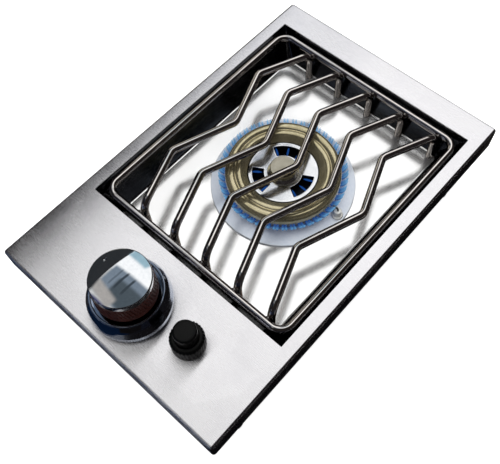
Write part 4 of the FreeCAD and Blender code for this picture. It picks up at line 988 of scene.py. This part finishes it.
flames = {  # tongues at the ports, a few that show through the disc's windows, and a glow round the ring
    "axis": (0.0, 40.5), "ports": 45, "sides": 8, "smooth": 60,
    "lobes": (-1.4, 1.4),  # degrees: each port's flame opens into two
    # a tongue's middle line and half width, from the port outwards and up
    "tongue": [(61.0, 84.5, 0.9), (65.0, 84.5, 1.4), (68.2, 86.0, 1.7), (70.8, 89.0, 1.6), (72.4, 92.2, 1.2),
               (73.4, 95.2, 0.7), (73.7, 97.2, 0.2)],
    "inner": [(36.6, 89.6, 0.5), (33.0, 90.4, 1.1), (28.0, 90.6, 1.2), (24.0, 90.4, 0.3)],
    "innerCount": 15,
    # the thin glow that joins the tongues
    "band": [(66.6, 85.0), (70.4, 88.0), (72.6, 92.0), (73.6, 95.6), (73.2, 95.7), (72.0, 92.3), (69.8, 88.6),
             (66.2, 85.6)],
    "outerFilm": {"deep": "#0A2E80", "tip": "#7CC2F2", "height": (84, 96), "glow": (0.5, 1.1),
                  "solid": (0.85, 0.45)},
    "innerFilm": {"deep": "#1B4FA6", "tip": "#2F6FD0", "height": (89, 92), "glow": (0.35, 0.7),
                  "solid": (0.7, 0.4)},
    "bandFilm": {"deep": "#123A86", "tip": "#5C9CD2", "height": (85, 95.5), "glow": (0.4, 0.7),
                 "solid": (0.5, 0.18)},
    "flicker": (5.0, 5.0, 5.0),
}


def flameFilm(name, look, flicker):  # burning gas: deep blue at the port, pale and clear at the tip
    material, tree, shader = newMaterial(name, {"Roughness": 1.0, "Specular IOR Level": 0.0})
    shader.inputs["Base Color"].default_value = colour("#000000")
    place = addNode(tree, "ShaderNodeTexCoord").outputs["Object"]
    height = addNode(tree, "ShaderNodeSeparateXYZ", links={0: place}).outputs["Z"]
    low, high = look["height"]
    rise = addNode(tree, "ShaderNodeMapRange", inputs={"From Min": low / 1000, "From Max": high / 1000},
                   links={"Value": height}).outputs[0]
    tint = addNode(tree, "ShaderNodeMix", {"data_type": "RGBA"},
                   {"A": colour(look["deep"]), "B": colour(look["tip"])}, {"Factor": rise})
    tree.links.new(tint.outputs["Result"], shader.inputs["Emission Color"])
    waver = patterned(tree, place, flicker)
    for socket, (least, most), source in (("Emission Strength", look["glow"], waver),
                                          ("Alpha", look["solid"], rise)):
        share = addNode(tree, "ShaderNodeMapRange", inputs={"To Min": least, "To Max": most},
                        links={"Value": source})
        tree.links.new(share.outputs[0], shader.inputs[socket])
    return material


def makeTongue(name, line, sides):  # modelled on the X side of the burner, in its own place
    selectOnly()
    reach, height, half = line[0]
    bpy.ops.mesh.primitive_circle_add(vertices=sides, radius=half, fill_type="NGON",
                                      location=(reach, 0, height), rotation=(0, math.pi / 2, 0))
    tongue = startEdit(name)
    tilt = 0
    for before, (reach, height, half) in zip(line, line[1:]):
        extrude((reach - before[0], 0, height - before[1]))
        grow = half / before[2]
        bpy.ops.transform.resize(value=(grow, grow, grow), center_override=(reach, 0, height))
        lean = math.atan2(height - before[1], reach - before[0])
        bpy.ops.transform.rotate(value=lean - tilt, orient_axis="Y", center_override=(reach, 0, height))
        tilt = lean
    closeAndTurnOut(gap=0.001)
    endEdit()
    return tongue


def flameRing(name, line, count, look, lobes=(0,)):
    axis = look["axis"]
    lobes = [math.radians(lobe) for lobe in lobes]
    first = makeTongue(name, line, look["sides"])
    first.data.transform(Matrix.Translation((*axis, 0)) @ Matrix.Rotation(lobes[0], 4, "Z"))
    turns = [index * 2 * math.pi / count + lobe - lobes[0] for index in range(count) for lobe in lobes]
    return joinAll(first, [copyPiece(first, name, turn, axis) for turn in turns[1:]])


def makeFlames(look):
    outer = flameRing("gas_flames", look["tongue"], look["ports"], look, look["lobes"])
    inner = flameRing("inner_flames", look["inner"], look["innerCount"], look)
    band = turned("gas_band", look["axis"], look["band"], segments=128)
    outer.visible_glossy = band.visible_glossy = False  # gas this thin leaves no image in the steel
    for piece, film, name in ((outer, "outerFilm", "burning gas"), (inner, "innerFilm", "gas burning inside"),
                              (band, "bandFilm", "thin gas glow")):
        finishPiece(piece, None, look=flameFilm(name, look[film], look["flicker"]), smooth=look["smooth"])


makeFlames(flames)
print("flames made")


print("scene ready")
